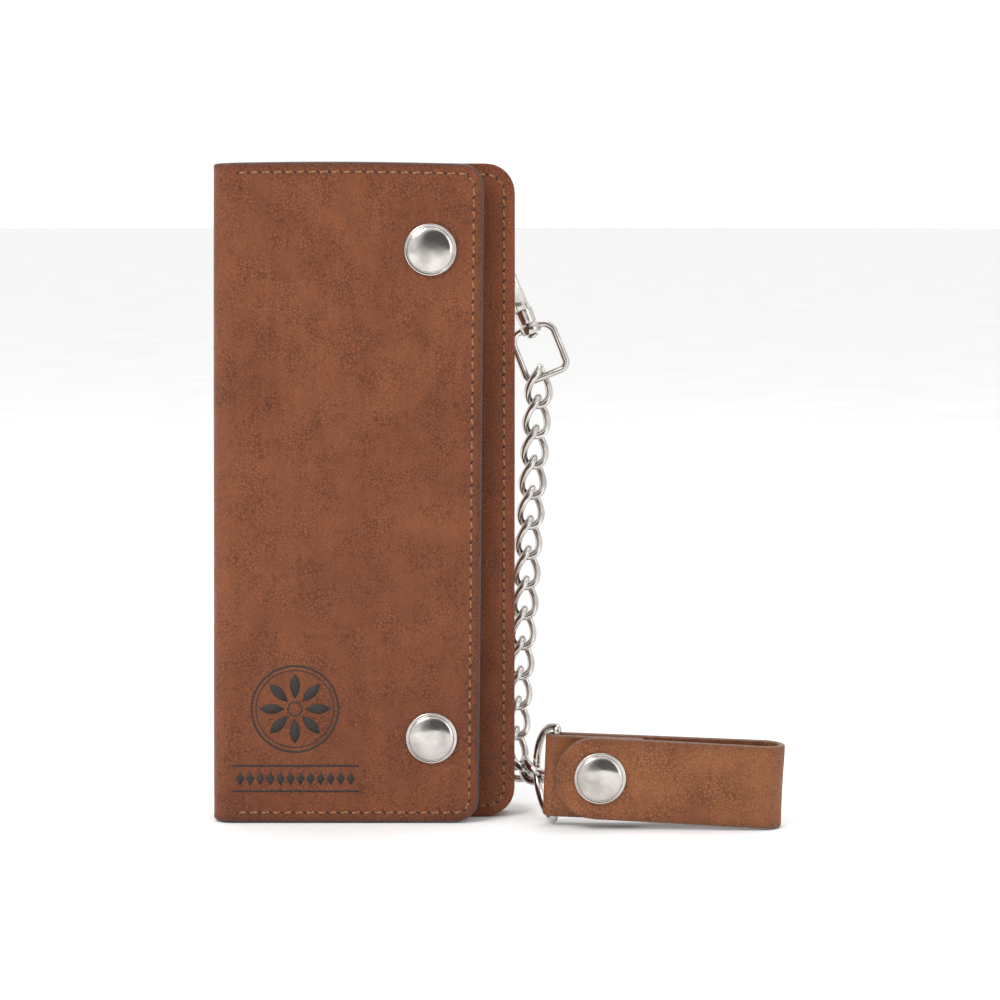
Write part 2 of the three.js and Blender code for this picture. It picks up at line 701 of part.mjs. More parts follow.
function buildHookBody() {
  const bowLine = [
    point(-1, blockFrom + 2),
    point(-HOOK_BOW_RADIUS, blockTo + 0.5),
    ...arc(0, crownZ, HOOK_BOW_RADIUS, 180, 0, 10),
    point(HOOK_BOW_RADIUS, tipZ),
  ];
  const bow = sidePlate(stripOutline(bowLine, HOOK_BOW_WIDTH), -hookHalf, hookHalf);
  const blockLine = [
    point(-3.4, blockFrom + 1.4),
    point(-2, blockFrom),
    point(2, blockFrom),
    point(pivotY + 1.6, blockFrom + 2.6),
    point(pivotY + 1.6, blockTo),
    point(-3.6, blockTo),
  ];
  const block = sidePlate(blockLine, -hookHalf, hookHalf);
  const neck = turned(
    [[0, blockFrom + 1], [HOOK_NECK_RADIUS + 0.5, blockFrom + 1], [HOOK_NECK_RADIUS, blockFrom - 0.6],
      [HOOK_NECK_RADIUS, neckFrom], [0, neckFrom]],
    14,
  );
  const head = EYE_BOSS_HALF + GAP;
  const shank = turned(
    [[0, neckFrom + 1], [SHANK_RADIUS, neckFrom + 1], [SHANK_RADIUS, -head], [SHANK_RADIUS + 0.8, -head],
      [SHANK_RADIUS + 0.5, -head - 1], [0, -head - 1]],
    14,
  );
  const slotHalf = gateHalf + GAP;
  const slot = box(-slotHalf, slotHalf, pivotY - knuckle - GAP, 9, pivotZ - knuckle - GAP, tipZ - 1);
  const pinHole = rodX(pivotY, pivotZ, pivotHole, -hookHalf - 1, hookHalf + 1, 12);
  return cut(join(bow, block, neck, shank), slot, pinHole);
}

function buildGate() {
  const line = [
    point(pivotY, pivotZ),
    point(HOOK_BOW_RADIUS, pivotZ + 4),
    point(HOOK_BOW_RADIUS, tipZ - 0.4),
  ];
  const bar = sidePlate(stripOutline(line, GATE_WIDTH), -gateHalf, gateHalf);
  const eye = rodX(pivotY, pivotZ, knuckle, -gateHalf, gateHalf);
  const middle = (pivotZ + tipZ) / 2;
  const thumbLine = [
    point(HOOK_BOW_RADIUS, middle - 2.6),
    point(HOOK_BOW_RADIUS + 3, middle - 0.6),
    point(HOOK_BOW_RADIUS + 3, middle + 0.8),
    point(HOOK_BOW_RADIUS, middle + 1.6),
  ];
  const thumb = sidePlate(thumbLine, -gateHalf, gateHalf);
  const springRoom = rodX(pivotY, pivotZ, knuckle + 0.5, springFrom - GAP, gateHalf + 1);
  const pinHole = rodX(pivotY, pivotZ, pivotHole, -gateHalf - 1, gateHalf + 1, 12);
  return cut(join(bar, eye, thumb), springRoom, pinHole);
}

function buildGateSpring() {
  const coil = [
    [pivotHole, gateHalf],
    [knuckle - 0.2, gateHalf],
    [knuckle - 0.2, springFrom],
    [pivotHole, springFrom],
    [pivotHole, gateHalf],
  ];
  return turned(coil, 16).rotate([0, 90, 0]).translate([0, pivotY, pivotZ]);
}

addPiece("hook_body", buildHookBody(), nickel, hook);
addPiece("hook_gate", buildGate(), nickel, hook);
addPiece("gate_pin", rodX(pivotY, pivotZ, PIVOT_RADIUS, -hookHalf, hookHalf, 12), nickel, hook);
addPiece("gate_spring", buildGateSpring(), nickel, hook);

// The eye: a house-shaped loop hung from a boss that turns on the hook's shank.
function buildEye() {
  const half = EYE_HALF_WIDTH;
  const corners = [
    [2.6, 0.3],
    [half - 1.6, 0],
    [half, -2.2],
    [half, -EYE_LENGTH + 1.8],
    [half - 1.8, -EYE_LENGTH],
  ];
  const right = corners.map(([x, z]) => new THREE.Vector3(x, 0, z));
  const left = corners.map(([x, z]) => new THREE.Vector3(-x, 0, z)).reverse();
  const loop = loopTube([...right, ...left], EYE_WIRE / 2, 8, () => new THREE.Vector3(0, 1, 0));
  const boss = turned(
    [[0, EYE_BOSS_HALF], [EYE_BOSS_RADIUS, EYE_BOSS_HALF], [EYE_BOSS_RADIUS, -EYE_BOSS_HALF],
      [0, -EYE_BOSS_HALF]],
    16,
  );
  const bore = turned([[0, 3], [SHANK_RADIUS + GAP, 3], [SHANK_RADIUS + GAP, -3], [0, -3]], 14);
  return cut(join(loop, boss), bore);
}

addPiece("swivel_eye", buildEye(), nickel, hook);

// ---- Chain: every link is an oval twisted a quarter turn end to end, so the run lies flat ----

function buildLink() {
  const steps = 22;
  const points = [];
  const sides = [];
  for (let k = 0; k < steps; k++) {
    const angle = (2 * Math.PI * k) / steps;
    const z = LINK_HALF_LENGTH * Math.sin(angle);
    const twist = (Math.PI / 4) * (z / LINK_HALF_LENGTH);
    const x = LINK_HALF_WIDTH * Math.cos(angle);
    points.push(new THREE.Vector3(x * Math.cos(twist), x * Math.sin(twist), z));
    sides.push(new THREE.Vector3(-Math.sin(twist), Math.cos(twist), 0));
  }
  return loopTube(points, LINK_WIRE / 2, 7, (i) => sides[i]);
}

// Hangs link number n with its upper end at `from`, running along `down`, turned about that line.
function addLink(number, from, down, turn) {
  const axis = down.clone().negate();
  const facing = new THREE.Vector3(0, -1, 0).addScaledVector(axis, axis.y).normalize();
  const aside = new THREE.Vector3().crossVectors(facing, axis).negate();
  const frame = new THREE.Matrix4().makeBasis(aside, new THREE.Vector3().crossVectors(axis, aside), axis);
  const link = addPiece("chain_link_" + String(number).padStart(2, "0"), buildLink(), nickel);
  link.quaternion.setFromRotationMatrix(frame);
  link.rotateZ(turn);
  link.position.copy(from).addScaledVector(down, LINK_PITCH / 2);
}

hook.updateMatrixWorld();
const eyeBar = hook.localToWorld(new THREE.Vector3(FIRST_LINK_ON_BAR, 0, -EYE_LENGTH));
const endWire = (LINK_WIRE + LINK_SLACK) / 2; // from where two links meet to either one's end wire
const eyeHold = (EYE_WIRE + LINK_WIRE) / 2 + EYE_SLACK - endWire;
const chainTop = eyeBar.clone().add(new THREE.Vector3(0, 0, eyeHold));
const hangingRun = HANGING_LINKS * LINK_PITCH;
const [driftX, driftY] = CHAIN_DRIFT;
const drop = Math.sqrt(hangingRun ** 2 - driftX ** 2 - driftY ** 2);
const chainDown = new THREE.Vector3(driftX, driftY, -drop).normalize();
const chainBottom = chainTop.clone().addScaledVector(chainDown, hangingRun);

for (let i = 0; i < HANGING_LINKS; i++) {
  const share = i / (HANGING_LINKS - 1);
  const turn = THREE.MathUtils.lerp(FIRST_LINK_TURN_DEG, LAST_LINK_TURN_DEG, share);
  addLink(i + 1, chainTop.clone().addScaledVector(chainDown, i * LINK_PITCH), chainDown, rad(turn));
}

// ---- Belt strap: its own +X along the strap, +Z up its width, its origin on the ring's bar ----

const strapHalf = STRAP_LEATHER / 2;
const wrap = STRAP_RING_WIRE / 2 + GAP + strapHalf; // centre line of the leather round the bar
const legOut = STRAP_RING_PLAY + STRAP_RING_WIRE / 2; // ring leg beyond the strap's edge, to its centre
const strapLift = legOut + STRAP_RING_WIRE / 2;
const strapTilt = Math.asin(strapLift / (STRAP_LENGTH - wrap - strapHalf));
const tabFace = -(wrap + strapHalf + STRAP_SNAP_GAP + STRAP_LEATHER); // outer face of the tab
const tabMiddle = tabFace + strapHalf;
const foldY = (wrap + tabMiddle) / 2;
const strapFold = (wrap - tabMiddle) / 2;
const strapFoldX = STRAP_LENGTH - wrap - 2 * strapHalf - strapFold;

const ringTurn = rad(STRAP_RING_TURN_DEG);
const ringHalf = STRAP_WIDTH / 2 + legOut;
const ringOut = new THREE.Vector3(-Math.sin(ringTurn), Math.cos(ringTurn), 0);
const holdHeight = chainBottom.z - LEVEL_RUN_FALL - strapLift - STRAP_WIDTH / 2;
const bowAngle = Math.asin(THREE.MathUtils.clamp(holdHeight / ringHalf, -0.8, 0.8));
const onRing = ringOut
  .clone()
  .multiplyScalar(STRAP_RING_DEPTH * Math.cos(bowAngle))
  .add(new THREE.Vector3(0, 0, STRAP_WIDTH / 2 + ringHalf * Math.sin(bowAngle)));

const strap = new THREE.Group();
strap.rotation.y = strapTilt;
strap.position.set(0, 0, strapLift);
wallet.add(strap);
strap.updateMatrixWorld();

// The last two links lead forward, nearly level, from the hanging run's end to the ring's bow.
const bowRise = strap.localToWorld(onRing.clone());
const ringHold = (STRAP_RING_WIRE + LINK_WIRE) / 2 + RING_SLACK - endWire;
const bendHold = LINK_WIRE + BEND_SLACK - endWire;
const lastReach = 2 * LINK_PITCH - ringHold - bendHold;
const lastFall = (bowRise.z - chainBottom.z - endWire * chainDown.z) / lastReach;
const heading = rad(LAST_RUN_HEADING_DEG);
const level = Math.sqrt(1 - lastFall ** 2);
const lastDown = new THREE.Vector3(level * Math.cos(heading), level * Math.sin(heading), lastFall);
const lastFrom = chainBottom
  .clone()
  .addScaledVector(chainDown, endWire)
  .addScaledVector(lastDown, -bendHold);
for (let i = 0; i < 2; i++) {
  const from = lastFrom.clone().addScaledVector(lastDown, i * LINK_PITCH);
  addLink(HANGING_LINKS + 1 + i, from, lastDown, rad(LEVEL_LINK_TURNS_DEG[i]));
}
const ringHeld = lastFrom.clone().addScaledVector(lastDown, 2 * LINK_PITCH - ringHold);
strap.position.add(new THREE.Vector3(ringHeld.x - bowRise.x, ringHeld.y - bowRise.y, 0));

function buildStrapRing() {
  const bow = arc(0, 0, 1, -90, 90, 14).map((p) =>
    ringOut
      .clone()
      .multiplyScalar(STRAP_RING_DEPTH * p.x)
      .add(new THREE.Vector3(0, 0, STRAP_WIDTH / 2 + ringHalf * p.y)),
  );
  const normal = new THREE.Vector3().crossVectors(ringOut, new THREE.Vector3(0, 0, 1));
  return loopTube(bow, STRAP_RING_WIRE / 2, 8, () => normal);
}

const strapFoldClear = THREE.MathUtils.radToDeg((strapHalf + GAP + 0.1) / strapFold);
const strapSnapZ = STRAP_WIDTH / 2 + STRAP_SNAP_ABOVE_MIDDLE;
const strapHole = () =>
  rodY(STRAP_SNAP_FROM_BAR, strapSnapZ, postHole, tabFace - 1, -wrap + strapHalf + 0.5);

function buildStrapBack() {
  const line = [
    point(UNDER_LAYER_LENGTH, -wrap),
    ...arc(0, 0, wrap, 270, 90, 8),
    point(strapFoldX / 2, wrap),
    ...arc(strapFoldX, foldY, strapFold, 90, strapFoldClear, 5),
  ];
  return cut(planPlate(stripOutline(line, STRAP_LEATHER), 0, STRAP_WIDTH), strapHole());
}

function buildStrapTab() {
  const line = [
    ...arc(strapFoldX, foldY, strapFold, 0, -90, 5),
    point(TAB_END_FROM_BAR, tabMiddle),
  ];
  const strip = planPlate(stripOutline(line, STRAP_LEATHER, true), 0, STRAP_WIDTH);
  const corners = [TAB_END_RADIUS, 0, 0, TAB_END_RADIUS];
  const outline = roundedShape(TAB_END_FROM_BAR, STRAP_LENGTH, 0, STRAP_WIDTH, corners);
  return cut(strip.intersect(frontPlate(outline, tabFace - 1, foldY + 2, 8)), strapHole());
}

addPiece("strap_ring", buildStrapRing(), nickel, strap);
addPiece("strap_back", buildStrapBack(), strapLeather, strap);
addPiece("strap_tab", buildStrapTab(), strapLeather, strap);
addSnap(
  "strap_snap",
  strap,
  new THREE.Vector3(STRAP_SNAP_FROM_BAR, tabFace, strapSnapZ),
  STRAP_LEATHER,
  STRAP_LEATHER + STRAP_SNAP_GAP,
  STRAP_LEATHER,
);

export default wallet;
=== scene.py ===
# %% [markdown]
# # A chain wallet in pull-up leather and nickel
# A long wallet stands on its lower edge. A snap hook, a chain and a folded belt strap hang from its
# back. The lesson builds every visible surface round a finished CAD assembly, whose bodies already
# know how they move, so each new piece only has to say which body it goes with.

# %% Load the frame
import math

import bmesh
import bpy
import numpy as np
from mathutils import Matrix, Vector


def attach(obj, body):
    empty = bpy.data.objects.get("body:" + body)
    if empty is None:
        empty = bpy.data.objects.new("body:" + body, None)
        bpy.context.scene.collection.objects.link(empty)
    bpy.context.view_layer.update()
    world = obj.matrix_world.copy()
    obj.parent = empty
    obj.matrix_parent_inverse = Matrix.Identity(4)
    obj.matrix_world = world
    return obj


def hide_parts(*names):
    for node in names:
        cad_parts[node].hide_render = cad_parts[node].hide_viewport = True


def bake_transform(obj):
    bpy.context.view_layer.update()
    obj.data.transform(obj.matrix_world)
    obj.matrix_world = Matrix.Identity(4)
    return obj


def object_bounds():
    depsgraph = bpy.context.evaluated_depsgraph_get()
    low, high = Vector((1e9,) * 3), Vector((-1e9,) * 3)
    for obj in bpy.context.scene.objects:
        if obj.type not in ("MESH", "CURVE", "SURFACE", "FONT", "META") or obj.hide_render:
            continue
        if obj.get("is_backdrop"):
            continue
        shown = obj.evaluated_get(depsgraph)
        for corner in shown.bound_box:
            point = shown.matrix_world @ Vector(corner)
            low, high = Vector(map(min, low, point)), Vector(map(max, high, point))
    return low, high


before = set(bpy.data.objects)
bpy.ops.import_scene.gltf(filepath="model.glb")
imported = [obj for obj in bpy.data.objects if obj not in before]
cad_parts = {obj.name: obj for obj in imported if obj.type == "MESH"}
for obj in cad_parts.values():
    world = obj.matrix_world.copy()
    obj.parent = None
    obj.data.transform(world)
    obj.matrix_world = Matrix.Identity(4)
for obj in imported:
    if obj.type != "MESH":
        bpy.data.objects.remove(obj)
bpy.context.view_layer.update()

# %% [markdown]
# ## The sizes that everything shares
# All lengths below are in millimetres, as a leather worker would write them on a pattern. Each mesh
# is scaled to metres only when it is made, so the numbers stay easy to read.

# %% Sizes
MM = 0.001
HEIGHT = 191.0
LEATHER = 1.8
RIGHT = 43.6  # free edge of the back
SPINE_FACE = -43.6  # outer face of the spine
CORNER = 8.5  # corner radius of the back and of the pockets in it
FLAP_CORNER = 7.0
FLAP_EDGE = 34.0
FRONT = -19.1  # outer face of the closed flap
FOLD_X = -38.6
FOLD = 4.1  # centre line of the leather at the two folds
BACK_FOLD_Y = -4.1
FRONT_FOLD_Y = -14.1
SNAP_X = 19.4
SNAP_HEIGHTS = (25.0, 166.5)
ZIP_X = -20
rng = np.random.default_rng(7)
print("cover:", HEIGHT, "x", RIGHT - SPINE_FACE, "mm")

# %% [markdown]
# ## One way to make a mesh
# Every piece below ends up as lists of points and faces. This helper makes the object, scales it,
# gives it its finishes and smooth shading, and ties it to a body of the assembly.

# %% Mesh helper
def make_piece(name, points, faces, finishes, body=None, stands_for=(), slot=None, slots=None):
    mesh = bpy.data.meshes.new(name)
    mesh.from_pydata([tuple(float(c) * MM for c in p) for p in points], [], faces)
    for finish in finishes:
        mesh.materials.append(finish)
    if slots is not None:
        mesh.polygons.foreach_set("material_index", slots)
    mesh.polygons.foreach_set("use_smooth", [True] * len(faces))
    mesh.update()
    piece = bpy.data.objects.new(name, mesh)
    bpy.context.scene.collection.objects.link(piece)
    if body:
        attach(piece, body)
    if stands_for:
        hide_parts(*stands_for)
    return piece


def gather(parts):
    """Several (points, faces) lists as one."""
    points, faces = [], []
    for some_points, some_faces in parts:
        start = len(points)
        points += [tuple(p) for p in some_points]
        faces += [tuple(start + i for i in face) for face in some_faces]
    return points, faces


print("mesh helper ready")

# %% [markdown]
# ## Leather as a bent sheet
# Real leather goods are flat pieces bent along folds. A `Sheet` does the same: a path seen from above
# gives the bend, the height is straight, and the corners are rounded with a pattern's radius. The cut
# edges are half-rounded, as they are once they have been sanded and painted.

# %% Sheet
def line(a, b, step=3.0):
    a, b = np.array(a, float), np.array(b, float)
    count = max(2, int(np.linalg.norm(b - a) / step) + 1)
    t = np.linspace(0, 1, count)[:, None]
    tangent = (b - a) / np.linalg.norm(b - a)
    return a + (b - a) * t, np.repeat(tangent[None], count, 0)


def bend(centre, radius, start, end, step=9):
    """An arc, anticlockwise from start to end in degrees."""
    a = np.radians(np.linspace(start, end, max(3, int(abs(end - start) / step) + 1)))
    c, s = np.cos(a), np.sin(a)
    return np.stack([centre[0] + radius * c, centre[1] + radius * s], 1), np.stack([-s, c], 1)


EDGE_STEPS = (0.15, 0.5, 1.1, 1.9, 2.8, 3.9, 5.2, 6.6)  # columns close to a cut edge, where its colour fades
EDGE_ANGLES = [math.radians(a) for a in (65, 40, 15, -15, -40, -65)]  # round the half-round of a cut edge
CROWDING = 0.6  # how far the rows gather towards the two long edges


class Sheet:
    """A strip that follows a path in plan. ends holds each end's corner radius, or None where it joins on."""

    def __init__(
        self, parts, height, ends, thickness=LEATHER, edge=0.45,
        lift=None, bulge=None, lean=None, place=None,
    ):
        p = np.concatenate([part[0] for part in parts])
        t = np.concatenate([part[1] for part in parts])
        s = np.concatenate([[0], np.cumsum(np.linalg.norm(np.diff(p, axis=0), axis=1))])
        keep = np.concatenate([[True], np.diff(s) > 1e-6])
        self.p, self.s = p[keep], s[keep]
        self.n = np.stack([t[keep][:, 1], -t[keep][:, 0]], 1)
        self.length, self.height, self.ends = self.s[-1], height, ends
        self.half, self.edge = thickness / 2, edge
        self.lift = lift or (lambda s, z: 0.0)
        self.bulge = bulge or (lambda s, z: 0.0)
        self.lean = lean or (lambda s, z: 0.0)
        self.place = place or Matrix.Identity(4)

    def point(self, s, z, out):
        """The point at s along the path and height z, out from the middle of the leather."""
        n = Vector((np.interp(s, self.s, self.n[:, 0]), np.interp(s, self.s, self.n[:, 1]), 0)).normalized()
        out += self.bulge(s, z)
        x, y = np.interp(s, self.s, self.p[:, 0]) + self.lean(s, z), np.interp(s, self.s, self.p[:, 1])
        return self.place @ Vector((x + n.x * out, y + n.y * out, z + self.lift(s, z)))

    def rise(self, s, inset):
        """How far the rounded corners lift the outline at s."""
        up = 0.0
        for radius, d in ((self.ends[0], s), (self.ends[1], self.length - s)):
            if radius is not None and d < radius:
                r, d = radius - inset, max(d - inset, 0)
                up = max(up, r - math.sqrt(max(r * r - (r - d) ** 2, 0)))
        return up + inset

    def outward(self, s, low):
        """Which way the outline faces at s, on its lower or upper side."""
        for radius, d, side in ((self.ends[0], s, -1), (self.ends[1], self.length - s, 1)):
            if radius is not None and d < radius:
                across = radius - d
                down = math.sqrt(max(radius**2 - across**2, 0))
                return (side * across / radius, (-down if low else down) / radius)
        return (0.0, -1.0 if low else 1.0)

    def columns(self):
        base = list(self.s)
        first = self.edge if self.ends[0] is not None else 0.0
        last = self.length - (self.edge if self.ends[1] is not None else 0.0)
        if self.ends[0] is not None:
            base += [first + e for e in EDGE_STEPS]
        if self.ends[1] is not None:
            base += [last - e for e in EDGE_STEPS]
        base = sorted(s for s in base if first <= s <= last) + [first, last]
        out = []
        for s in sorted(base):
            if not out or s - out[-1] > 0.05:
                out.append(s)
        out[-1] = last
        return out

    def build(self, name, leather, paint, rows=48, **how):
        columns = self.columns()
        share = 0.5 - 0.5 * np.cos(np.pi * np.arange(rows + 1) / rows)
        share = CROWDING * share + (1 - CROWDING) * np.linspace(0, 1, rows + 1)
        n, m = len(columns), rows + 1
        places, near_edge = [], []
        for s in columns:
            low = self.rise(s, self.edge)
            for f in share:
                z = low + f * (self.height - 2 * low)
                places.append((s, z))
                gap = min(z, self.height - z)
                gap = min([gap] + [d for r, d in zip(self.ends, (s, self.length - s)) if r is not None])
                near_edge.append(gap)
        points = [self.point(s, z, self.half) for s, z in places]
        points += [self.point(s, z, -self.half) for s, z in places]
        edge_mm = near_edge + near_edge
        faces = []
        for i in range(n - 1):
            for j in range(m - 1):
                a, b = i * m + j, (i + 1) * m + j
                faces.append((a, a + 1, b + 1, b))
                faces.append((n * m + a, n * m + b, n * m + b + 1, n * m + a + 1))
        slots = [0] * len(faces)
        loop = [(i, 0, self.outward(columns[i], True)) for i in range(n)]
        if self.ends[1] is not None:
            loop += [(n - 1, j, (1.0, 0.0)) for j in range(1, m)]
        else:
            loop.append(None)
        top = range(n - 1 if self.ends[1] is not None else n)
        loop += [(i, m - 1, self.outward(columns[i], False)) for i in reversed(top)]
        if self.ends[0] is not None:
            loop += [(0, j, (-1.0, 0.0)) for j in reversed(range(0, m - 1))]
        strips = []
        for stop in loop:
            if stop is None:
                strips.append(None)
                continue
            i, j, (across, up) = stop
            s, z = places[i * m + j]
            strip = [i * m + j]
            for a in EDGE_ANGLES:
                out = self.edge * math.cos(a)
                points.append(self.point(s + across * out, z + up * out, self.half * math.sin(a)))
                edge_mm.append(0.0)
                strip.append(len(points) - 1)
            strip.append(n * m + i * m + j)
            strips.append(strip)
        for one, two in zip(strips, strips[1:]):
            if one is None or two is None:
                continue
            for k in range(len(one) - 1):
                faces.append((one[k], two[k], two[k + 1], one[k + 1]))
                slots.append(1)
        piece = make_piece(name, points, faces, [leather, paint], slots=slots, **how)
        attribute = piece.data.attributes.new("edge_mm", "FLOAT", "POINT")
        attribute.data.foreach_set("value", edge_mm)
        return piece


print("sheet builder ready")

# %% [markdown]
# ## Finishes, one node graph each
# Pull-up leather is waxed, so it is lighter where it has been bent and darker where wax has gathered.
# Three scales of noise do most of it: broad clouds, streaks and a fine grain. Coordinates are the
# object's own metres, which keeps every scale a real size, and lets neighbouring pieces match.

# %% Node helpers
def new_finish(name, roughness, metallic=0.0):
    finish = bpy.data.materials.new(name)
    finish.use_nodes = True
    nodes, links = finish.node_tree.nodes, finish.node_tree.links
    shader = nodes["Principled BSDF"]
    shader.inputs["Roughness"].default_value = roughness
    shader.inputs["Metallic"].default_value = metallic
    where = nodes.new("ShaderNodeTexCoord").outputs["Object"]
    return finish, nodes, links, shader, where


def noise(nodes, links, where, size_mm, detail=3.0, roughness=0.55, distortion=0.0):
    n = nodes.new("ShaderNodeTexNoise")
    n.inputs["Scale"].default_value = 1000.0 / size_mm
    n.inputs["Detail"].default_value = detail
    n.inputs["Roughness"].default_value = roughness
    n.inputs["Distortion"].default_value = distortion
    links.new(where, n.inputs["Vector"])
    return n.outputs["Fac"]


def ramp(nodes, links, value, stops):
    r = nodes.new("ShaderNodeValToRGB")
    r.color_ramp.elements[0].position, r.color_ramp.elements[1].position = stops[0][0], stops[-1][0]
    r.color_ramp.elements[0].color = (*stops[0][1], 1)
    r.color_ramp.elements[1].color = (*stops[-1][1], 1)
    for position, colour in stops[1:-1]:
        r.color_ramp.elements.new(position).color = (*colour, 1)
    links.new(value, r.inputs["Fac"])
    return r.outputs["Color"]


def mixed(nodes, links, share, a, b, blend="MIX"):
    m = nodes.new("ShaderNodeMix")
    m.data_type, m.blend_type = "RGBA", blend
    for socket, value in ((m.inputs[0], share), (m.inputs[6], a), (m.inputs[7], b)):
        if isinstance(value, (int, float)):
            socket.default_value = value
        elif isinstance(value, tuple):
            socket.default_value = (*value, 1)
        else:
            links.new(value, socket)
    return m.outputs[2]


def spread(nodes, links, value, low, high, to_low=0.0, to_high=1.0):
    m = nodes.new("ShaderNodeMapRange")
    m.interpolation_type = "SMOOTHSTEP"
    for name, number in (("From Min", low), ("From Max", high), ("To Min", to_low), ("To Max", to_high)):
        m.inputs[name].default_value = number
    links.new(value, m.inputs["Value"])
    return m.outputs["Result"]


def scaled(colour, share):
    return tuple(c * share for c in colour)


def two_tone(nodes, links, value, colour, dark, light, at=(0.3, 0.7)):
    """One colour, made darker and lighter by a pattern."""
    return ramp(nodes, links, value, [(at[0], scaled(colour, dark)), (at[1], scaled(colour, light))])


def bumped(nodes, links, shader, layers):
    """layers holds (height, strength, distance in mm), stacked from the coarsest to the finest."""
    before = None
    for height, strength, distance in layers:
        b = nodes.new("ShaderNodeBump")
        b.inputs["Strength"].default_value = strength
        b.inputs["Distance"].default_value = distance * MM
        links.new(height, b.inputs["Height"])
        if before is not None:
            links.new(before, b.inputs["Normal"])
        before = b.outputs["Normal"]
    links.new(before, shader.inputs["Normal"])


print("node helpers ready")

# %% [markdown]
# ## Leather
# The grain is small cells with creases between them, so a Voronoi pattern makes the bump. Handling
# darkens a band along each cut edge; the sheet's `edge_mm` attribute says how far away the edge is.

# %% Leather finishes
GRAIN_CELL = 0.95  # across one cell of the grain


def leather(name, base, dark, light, edge_dark, grain, shine):
    finish, nodes, links, shader, where = new_finish(name, shine)
    cloud = noise(nodes, links, where, 26, 4.0, 0.6, 0.4)
    patch = noise(nodes, links, where, 7, 5.0, 0.62, 0.2)
    fine = noise(nodes, links, where, 1.1, 2.0)
    stretch = nodes.new("ShaderNodeMapping")
    stretch.inputs["Scale"].default_value = (1.0, 1.0, 0.16)
    links.new(where, stretch.inputs["Vector"])
    streak = noise(nodes, links, stretch.outputs["Vector"], 3.2, 4.0, 0.6, 0.8)
    colour = ramp(nodes, links, cloud, [(0.3, dark), (0.5, base), (0.72, light)])
    tones = [(0.3, (0.8, 0.78, 0.76)), (0.55, (1, 1, 1)), (0.8, (1.12, 1.1, 1.08))]
    patchy = ramp(nodes, links, patch, tones)
    colour = mixed(nodes, links, 0.5, colour, patchy, "MULTIPLY")
    streaky = ramp(nodes, links, streak, [(0.35, (0.82, 0.8, 0.78)), (0.6, (1.04, 1.04, 1.03))])
    colour = mixed(nodes, links, 0.55, colour, streaky, "MULTIPLY")
    specks = ramp(nodes, links, fine, [(0.25, (0.7, 0.66, 0.62)), (0.5, (1, 1, 1))])
    colour = mixed(nodes, links, 0.4, colour, specks, "MULTIPLY")
    if edge_dark:
        away = nodes.new("ShaderNodeAttribute")
        away.attribute_name = "edge_mm"
        wear = spread(nodes, links, away.outputs["Fac"], 0.2, 3.4, edge_dark, 0.0)
        colour = mixed(nodes, links, wear, colour, scaled(base, 0.38))
    links.new(spread(nodes, links, patch, 0.3, 0.7, shine - 0.09, shine + 0.12), shader.inputs["Roughness"])
    shader.inputs["Specular IOR Level"].default_value = 0.32
    cells = nodes.new("ShaderNodeTexVoronoi")
    cells.feature = "DISTANCE_TO_EDGE"
    cells.inputs["Scale"].default_value = 1000.0 / GRAIN_CELL
    links.new(where, cells.inputs["Vector"])
    crease = spread(nodes, links, cells.outputs["Distance"], 0.0, 0.25)
    lines = ramp(nodes, links, crease, [(0.0, (0.5, 0.44, 0.38)), (0.7, (1.1, 1.1, 1.1))])
    where_deep = spread(nodes, links, noise(nodes, links, where, 9, 3.0), 0.35, 0.65, 0.4, 0.95)
    colour = mixed(nodes, links, where_deep, colour, mixed(nodes, links, 1.0, colour, lines, "MULTIPLY"))
    rub = spread(nodes, links, noise(nodes, links, where, 2.2, 5.0, 0.7, 0.6), 0.56, 0.8, 0.0, 0.2)
    colour = mixed(nodes, links, rub, colour, tuple(min(1.0, c * 1.75) for c in light))
    links.new(colour, shader.inputs["Base Color"])
    layers = ((patch, 0.35, 0.5), (streak, 0.3, 0.2), (crease, 0.5, 0.08), (fine, 0.5, 0.1))
    bumped(nodes, links, shader, [(height, share * grain, deep) for height, share, deep in layers])
    return finish


cover_leather = leather(
    "cover_leather", (0.186, 0.053, 0.0175), (0.155, 0.042, 0.0135), (0.222, 0.068, 0.024),
    edge_dark=0.5, grain=0.8, shine=0.48,
)
lining_leather = leather(
    "lining_leather", (0.195, 0.053, 0.0165), (0.165, 0.043, 0.013), (0.23, 0.066, 0.021),
    edge_dark=0.0, grain=0.8, shine=0.55,
)
strap_leather = leather(
    "strap_leather", (0.245, 0.085, 0.031), (0.2, 0.067, 0.024), (0.305, 0.116, 0.044),
    edge_dark=0.3, grain=1.3, shine=0.55,
)


def burnished_edge(name, colour):
    finish, nodes, links, shader, where = new_finish(name, 0.42)
    fibre = noise(nodes, links, where, 1.4, 4.0)
    links.new(two_tone(nodes, links, fibre, colour, 0.6, 1.35), shader.inputs["Base Color"])
    bumped(nodes, links, shader, [(fibre, 0.4, 0.1)])
    return finish


edge_paint = burnished_edge("edge_paint", (0.052, 0.033, 0.04))
strap_edge = burnished_edge("strap_edge", (0.14, 0.06, 0.03))
print("leathers:", cover_leather.name, lining_leather.name, strap_leather.name)

# %% [markdown]
# ## Thread, burnt leather, zip tape and metal
# Waxed thread has a twist, drawn by a wave across its length. Nickel plate is never a perfect mirror:
# its roughness drifts with handling, and a faint uneven bump bends the reflections.

